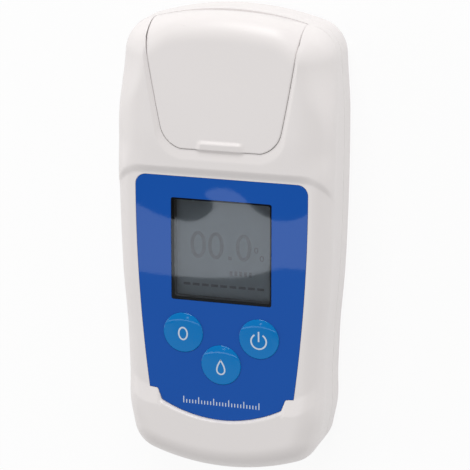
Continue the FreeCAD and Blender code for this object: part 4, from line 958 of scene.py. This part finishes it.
def key_cap(name, spot):
    """Round cap: rings of the domed face, the rolled rim as a quarter circle, the wall and the flange."""
    turn = steps(0, 2 * np.pi, 144)
    inner = (KEY_RADIUS - KEY_ROLL) * np.linspace(0.0, 1, 44) ** 0.75
    roll = np.linspace(0, np.pi / 2, 7)[1:]
    radius = np.concatenate([inner, KEY_RADIUS - KEY_ROLL + KEY_ROLL * np.sin(roll)])
    fall = np.concatenate([np.zeros(len(inner)), KEY_ROLL * (1 - np.cos(roll))])
    rings = [at_height(r * directions(turn), key_height(r * np.cos(turn), r * np.sin(turn)) - f)
             for r, f in zip(radius, fall)]
    rings += [at_height(r * directions(turn), z) for r, z in (
        (KEY_RADIUS, KEY_FLANGE_Z), (KEY_FLANGE_RADIUS, KEY_FLANGE_Z), (KEY_FLANGE_RADIUS, KEY_FOOT_Z),
        (0.0, KEY_FOOT_Z))]
    return closed_solid(name, np.stack(rings) + (*spot, 0), False)


def ribbon(left, right, under, over, ended):
    """Thin solid between two lines of points in space, ended by caps or closed in a ring."""
    sides = ((left, under), (right, under), (right, over), (left, over))
    return closed_solid("ribbon", np.stack([line + (0, 0, lift) for line, lift in sides], axis=1), ended)


def stroke(path, width, spot, closed):
    """Ribbon of even width along a path, each side half the width off it, laid on the key's face."""
    path = np.asarray(path, float)
    ahead = np.roll(path, -1, 0) - np.roll(path, 1, 0)
    if not closed:
        ahead[0], ahead[-1] = path[1] - path[0], path[-1] - path[-2]
    normal = np.stack([-ahead[:, 1], ahead[:, 0]], axis=1) / np.linalg.norm(ahead, axis=1, keepdims=True)
    left, right = path + normal * width / 2, path - normal * width / 2
    if closed:
        left, right = np.vstack([left, left[:1]]), np.vstack([right, right[:1]])
    lines = [at_height(p + spot, key_height(*p.T)) for p in (left, right)]
    return ribbon(*lines, -SIGN_SINK, PRINT_LIFT, not closed)


def turned(radius_x, radius_y, start, end, count, y):
    """Points round an ellipse between two angles in degrees."""
    return np.array([0, y]) + directions(np.radians(np.linspace(start, end, count))) * (radius_x, radius_y)


def drop_path():
    """Outline of a drop: a circle drawn up to a point by the sine of half the angle."""
    a = steps(0, 2 * np.pi, 60)
    return np.stack([1.45 * np.sin(a) * np.sin(a / 2) ** 1.2, -0.5 + 1.95 * np.cos(a)], axis=1)


blue_key = finish_for("light_blue_key", (0.001, 0.170, 0.49), 0.07, tone=0.06, spread=0.02, grain=1200.0,
                      bump=0.003)
for key, spot in KEY_PLACES.items():
    dress(key_cap("cap_" + key, spot), key + "_key", "key_blue", blue_key, key + "_key")
signs = {
    "zero": [(turned(1.15, 1.65, 0, 354, 60, -0.2), SIGN_WIDTH, True)],
    "power": [(turned(2.05, 2.05, 122, 418, 72, -0.5), SIGN_WIDTH, False),
              ([(0, -0.6), (0, 0.8), (0, 2.2)], SIGN_WIDTH, False)],
    "measure": [(drop_path(), 0.40, True)],
}
for key, lines in signs.items():
    parts = [stroke(path, width, KEY_PLACES[key], closed) for path, width, closed in lines]
    dress(joined("sign_" + key, parts), key + "_key", "key_blue", print_white)


# Window and display
# A clear acrylic pane lies flush in the label's opening. Under it a black frame surrounds the
# grey glass of the liquid crystal display, whose segments show only faintly.
GLASS_Z = 19.7
SEGMENT_LIFT = 0.01


def dress_nodes(pieces, name, colour, roughness, **looks):
    """Gives pieces of the frame, named in one line, a new material in every slot."""
    material = finish_for(name, colour, roughness, **looks)
    for piece in pieces.split():
        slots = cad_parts[piece].data.materials
        if len(slots) == 0:
            slots.append(material)
        for i in range(len(slots)):
            slots[i] = material


dress_nodes("display_window", "clear_acrylic", (0.96, 0.97, 0.98), 0.02, tone=0.01, spread=0.01, grain=400.0,
            bump=0.002, clear=1.0, ior=1.64)
dress_nodes("display_frame", "black_frame", (0.012, 0.012, 0.016), 0.55, tone=0.2, grain=2600.0, bump=0.1)
dress_nodes("display_glass", "grey_display_glass", (0.250, 0.300, 0.340), 0.35, tone=0.10, spread=0.04,
            grain=5000.0, bump=0.01, ior=1.5)
dress_nodes("display_backlight", "light_guide", (0.7, 0.7, 0.68), 0.4, tone=0.05)


def bar(x, y, size_x, size_y):
    """One dark bar of the display."""
    plan = oblong(x - size_x / 2, y - size_y / 2, x + size_x / 2, y + size_y / 2)
    return pillar(plan, GLASS_Z - SEGMENT_LIFT, GLASS_Z + SEGMENT_LIFT)


def nought(x, y, width, height, stroke_width):
    """A nought of the display: an oval ring."""
    way = directions(np.linspace(0, 2 * np.pi, 49))
    outer, inner = (at_height(way * (width / 2 - inset, height / 2 - inset) + (x, y), GLASS_Z)
                    for inset in (0, stroke_width))
    return ribbon(outer, inner, -SEGMENT_LIFT, SEGMENT_LIFT, False)


segments = [nought(x, -0.1, 4.2, 7.3, 0.95) for x in (-7.1, -2.3, 5.2)]
segments += [bar(1.5, -3.2, 1.0, 1.0), nought(8.6, -0.5, 1.2, 1.7, 0.35), nought(10.1, -2.6, 1.2, 1.7, 0.35)]
segments += [bar(1.8 + 1.3 * i, -7.2, 0.8, 1.3) for i in range(5)]
segments += [bar(-10.2 + 2.5 * i, -10.9, 1.9, 0.7) for i in range(9)]
segment_ink = finish_for("display_segments", (0.095, 0.093, 0.115), 0.35, tone=0.1)
dress(joined("display_segments", segments), "case", "display_grey", segment_ink)


# Sample stage
# A turned stainless steel plate under the lid. Its shallow cone leads the drop down to the top
# of the glass prism, which a black rubber ring seals.
STAGE_TOP = 19.4
WELL_TOP_RADIUS = 7.25
WELL_FOOT_RADIUS = 3.5
WELL_FOOT_Z = 16.9
STAGE_PLATE = (25.0, 16.4, 5.0)
STAGE_ROLL = 0.3
STAGE_FOOT_Z = 15.8
STAGE_STEP = 1.3


def stage_rings():
    """Rings of the stage from the well's foot, up the cone, over its lip, and out to the plate's edge."""
    turn = steps(0, 2 * np.pi, 192)
    plan = plate_plan(*STAGE_PLATE, 0, 0, 24)
    plan_turn = np.arctan2(plan[:, 1], plan[:, 0])
    order = np.argsort(plan_turn)
    reach = np.interp((turn + np.pi) % (2 * np.pi) - np.pi, plan_turn[order], np.hypot(*plan[order].T),
                      period=2 * np.pi)
    cone_top, lip_radius = WELL_TOP_RADIUS - 0.1, WELL_TOP_RADIUS + 0.2
    rings = [(WELL_FOOT_RADIUS + (cone_top - WELL_FOOT_RADIUS) * s, WELL_FOOT_Z + 2.42 * s)
             for s in np.linspace(0, 1, 12)]
    rings += [(WELL_TOP_RADIUS + 0.05, STAGE_TOP - 0.03), (lip_radius, STAGE_TOP),
              (lip_radius * 0.5 + reach * 0.5, STAGE_TOP), (reach - STAGE_ROLL, STAGE_TOP)]
    rings += [(reach - STAGE_ROLL + STAGE_ROLL * np.sin(a), STAGE_TOP - STAGE_ROLL + STAGE_ROLL * np.cos(a))
              for a in np.linspace(0, np.pi / 2, 5)[1:]]
    rings += [(reach, DECK_Z), (reach - STAGE_STEP, DECK_Z), (reach - STAGE_STEP, STAGE_FOOT_Z),
              (WELL_FOOT_RADIUS, STAGE_FOOT_Z)]
    loops = [at_height(directions(turn) * np.reshape(radius, (-1, 1)), z) for radius, z in rings]
    return np.stack(loops + loops[:1]) + np.array([0, STAGE_Y, 0])


stage = closed_solid("stage_plate", stage_rings(), False)
steel = finish_for("turned_stainless", (0.56, 0.56, 0.57), 0.24, tone=0.08, spread=0.12, grain=700.0,
                   bump=0.03, metal=1.0)
tree = steel.node_tree
where = put(tree, "TexCoord").outputs["Object"]
centre = put(tree, "Mapping", {"Vector": where, "Location": (0, -STAGE_Y * MM, 0)})
rings = put(tree, "TexWave", {"Vector": centre.outputs["Vector"], "Scale": 620.0, "Distortion": 0.6},
            wave_type="RINGS", rings_direction="Z")
lathe = put(tree, "Bump", {"Strength": 0.12, "Distance": 0.02 * MM, "Height": rings.outputs["Fac"]})
feed(tree.nodes["Bump"], {"Normal": lathe.outputs["Normal"]})
dress(stage, "case", "steel", steel, "sample_stage")


# Inner pieces
# What shows only through the window, the open lid or the open battery door: the prism and its
# seal, the lid's rubber liner, boards, optics, cell, contacts, screws and the hinge pin.
dress_nodes("prism_seal lid_liner case_gasket", "black_rubber", (0.018, 0.018, 0.019), 0.72, tone=0.15,
            grain=2800.0, bump=0.18)
dress_nodes("case_screws board_screws hinge_pin temperature_probe", "plated_steel", (0.55, 0.55, 0.56), 0.28,
            tone=0.1, spread=0.12, grain=1600.0, bump=0.04, metal=1.0)
dress_nodes("battery_spring battery_plate", "nickel_contact", (0.62, 0.60, 0.56), 0.2, tone=0.08, spread=0.1,
            grain=1800.0, bump=0.04, metal=1.0)
dress_nodes("main_board sensor_board", "green_board", (0.015, 0.13, 0.06), 0.35, tone=0.25, spread=0.1,
            bump=0.08)
dress_nodes("board_chips switch_bodies line_sensor zero_plunger power_plunger measure_plunger", "black_chip",
            (0.02, 0.02, 0.021), 0.5, tone=0.2, grain=3500.0, bump=0.12)
dress_nodes("optics_block", "black_anodised", (0.02, 0.02, 0.023), 0.42, tone=0.15, grain=2600.0, bump=0.08)
dress_nodes("battery_cell", "cell_jacket", (0.08, 0.085, 0.10), 0.3, tone=0.08, spread=0.08, grain=900.0,
            bump=0.02, metal=0.4)
dress_nodes("prism led_source collimating_lens", "prism_glass", (0.93, 0.96, 0.97), 0.02, tone=0.01,
            spread=0.01, grain=500.0, bump=0.002, clear=1.0, ior=1.6)


# Floor
# A pale light table that the instrument lies on. It shows as white to the camera and keeps its
# shadow, and throws light at the back; from below it is clear, so that the back can be looked at.
FLOOR_HALF = 6000.0
FLOOR_Z = -0.05
GLOW_UNSEEN = 0.42
GLOW_SEEN_EXTRA = 0.46


def sheet(name, corners):
    """Flat sheet with one face through its corners."""
    mesh = bpy.data.meshes.new(name)
    mesh.from_pydata((corners * MM).tolist(), [], [list(range(len(corners)))])
    return placed(name, mesh)


def bare_material(name):
    """Material with an empty node tree."""
    material = bpy.data.materials.new(name)
    material.use_nodes = True
    material.node_tree.nodes.clear()
    return material


def mix(tree, share, first, second):
    """Two shaders mixed by a share."""
    return put(tree, "MixShader", {"Fac": share, 1: first, 2: second}).outputs[0]


floor = sheet("floor", at_height(oblong(-FLOOR_HALF, -FLOOR_HALF, FLOOR_HALF, FLOOR_HALF), FLOOR_Z))
pale = bare_material("pale_floor")
tree = pale.node_tree
ray = put(tree, "LightPath").outputs
matt = put(tree, "BsdfDiffuse", {"Color": (0.9, 0.9, 0.9, 1)}).outputs[0]
glow = put(tree, "Emission", {"Strength": 1.0}).outputs[0]
seen = put(tree, "Math", {0: ray["Is Camera Ray"], 1: ray["Is Transmission Ray"]}, operation="MAXIMUM")
glow_share = put(tree, "Math", {0: seen.outputs[0], 1: GLOW_SEEN_EXTRA, 2: GLOW_UNSEEN},
                 operation="MULTIPLY_ADD")
upper_side = mix(tree, glow_share.outputs[0], matt, glow)
open_side = put(tree, "BsdfTransparent").outputs[0]
turned_away = put(tree, "NewGeometry").outputs["Backfacing"]
put(tree, "OutputMaterial", {"Surface": mix(tree, turned_away, upper_side, open_side)})
floor.data.materials.append(pale)


# Light and camera
# A pale room, a large soft lamp beyond the lid end and two weak ones at the sides. The camera
# looks down on the face from the right and a little from the lid end.
ROOM_LIGHT = 0.640
MIRRORED_ROOM_LIGHT = 0.12
world = bpy.data.worlds.new("room")
bpy.context.scene.world = world
world.use_nodes = True
tree = world.node_tree
ray = put(tree, "LightPath").outputs
room = feed(tree.nodes["Background"], {"Color": (1.0, 1.0, 1.0, 1), "Strength": ROOM_LIGHT}).outputs[0]
shown, dim = (put(tree, "Background", {"Strength": light}).outputs[0] for light in (1.0, MIRRORED_ROOM_LIGHT))
lit = mix(tree, ray["Is Glossy Ray"], room, dim)
feed(tree.nodes["World Output"], {"Surface": mix(tree, ray["Is Camera Ray"], lit, shown)})

# Square soft lamps, each turned to the middle of the instrument.
LAMP_SIZE = 600
LAMP_TARGET = Vector((0, 0, 12)) * MM
for name, place, power in (("head_lamp", (0, 1000, 500), 6.5), ("left_lamp", (-900, 0, 350), 1.8),
                           ("right_lamp", (900, 0, 350), 0.8)):
    data = bpy.data.lights.new(name, "AREA")
    data.shape, data.size, data.energy = "SQUARE", LAMP_SIZE * MM, power
    lamp = placed(name, data)
    lamp.location = Vector(place) * MM
    lamp.rotation_euler = (LAMP_TARGET - lamp.location).to_track_quat("-Z", "Y").to_euler()

CAMERA_TURN = np.radians(16.97)
CAMERA_TILT = np.radians(15.60)
CAMERA_FAR = 649.2
CAMERA_LENS = 193.93
CAMERA_SENSOR = 36.0
CAMERA_TARGET = np.array([3.707, 4.025, 23.0])
towards = np.array([np.sin(CAMERA_TURN) * np.cos(CAMERA_TILT), np.sin(CAMERA_TILT),
                    np.cos(CAMERA_TURN) * np.cos(CAMERA_TILT)])
right = np.cross((0, 1, 0), towards)
right /= np.linalg.norm(right)
up = np.cross(towards, right)
eye = CAMERA_TARGET + towards * CAMERA_FAR
camera_data = bpy.data.cameras.new("camera")
camera_data.lens, camera_data.sensor_width = CAMERA_LENS, CAMERA_SENSOR
camera_data.clip_start, camera_data.clip_end = 0.01, 50.0
camera = placed("camera", camera_data)
axes = np.stack([right, up, towards], axis=1)
camera.matrix_world = Matrix([(*row, e) for row, e in zip(axes, eye * MM)] + [(0, 0, 0, 1)])
bpy.context.scene.camera = camera
bpy.context.scene.view_settings.view_transform = "Standard"


# Reflection cards
# White cards above the instrument that the gloss pieces mirror. The first gives the label and the
# window a broad band with a round top, the second a weak veil below it. The others give the keys
# a veil, a thin arc and a speck.
CARD_HEIGHT = 600.0
CARD_TINT = (0.92, 0.99, 1.07, 1)


def thrown_place(plan_of_image):
    """Place of a card whose mirror image in the label's plane fills a plan.

    Each point goes along its thrown ray up to the card's height.
    """
    points = at_height(plan_of_image, LABEL_TOP)
    thrown = (points - eye) * np.array([1.0, 1.0, -1.0])
    return points + thrown * ((CARD_HEIGHT - LABEL_TOP) / thrown[:, 2:])


def reflection_card(name, place, strength):
    """Flat card that shines and that only mirrors and glass can see."""
    card = sheet(name, place)
    paint = bare_material(name)
    light = put(paint.node_tree, "Emission", {"Color": CARD_TINT, "Strength": strength}).outputs[0]
    put(paint.node_tree, "OutputMaterial", {"Surface": light})
    card.data.materials.append(paint)
    card.visible_camera = card.visible_diffuse = card.visible_shadow = False


band_foot = np.concatenate([
    [(-40, -7.2)], arc((-21.5, -7.8), (-13.5, -8.25), (-5.3, -8.2), 12),
    arc((-0.8, -7.9), (3.7, -7.3), (11.0, -5.7), 12), arc((11.3, -5.6), (13.6, -4.5), (17.4, -3.7), 12),
    [(22.3, -3.75), (40, -4.2)]])
band_head = np.concatenate([
    [(40, 17), (23.0, 11.1)], arc((22.9, 11.0), (17.2, 8.85), (12.5, 9.35), 16),
    arc((12.3, 9.4), (9.2, 11.0), (6.8, 13.2), 10), arc((6.6, 13.6), (1.0, 16.2), (-4.2, 14.8), 16),
    [(-4.3, 14.2), (-2.4, 12.6)], arc((-1.9, 10.7), (-5.2, 7.6), (-9.3, 6.6), 12),
    arc((-9.5, 6.6), (-14.6, 7.3), (-22.4, 10.4), 12), [(-40, 18)]])
below_band = np.concatenate([band_foot[::-1] - (0, 0.05), [(-40, -60), (40, -60)]])
reflection_card("label_card", thrown_place(np.concatenate([band_foot, band_head])), 1.2)
reflection_card("low_card", thrown_place(below_band), 0.25)
for name, x0, x1, y0, y1, strength in (("veil_card", -400, 40, -420, -268, 0.45),
                                       ("arc_card", -400, 40, -128, -40, 1.8),
                                       ("speck_card", -136, -118, 8, 30, 4.0)):
    reflection_card(name, at_height(oblong(x0, y0, x1, y1), CARD_HEIGHT), strength)
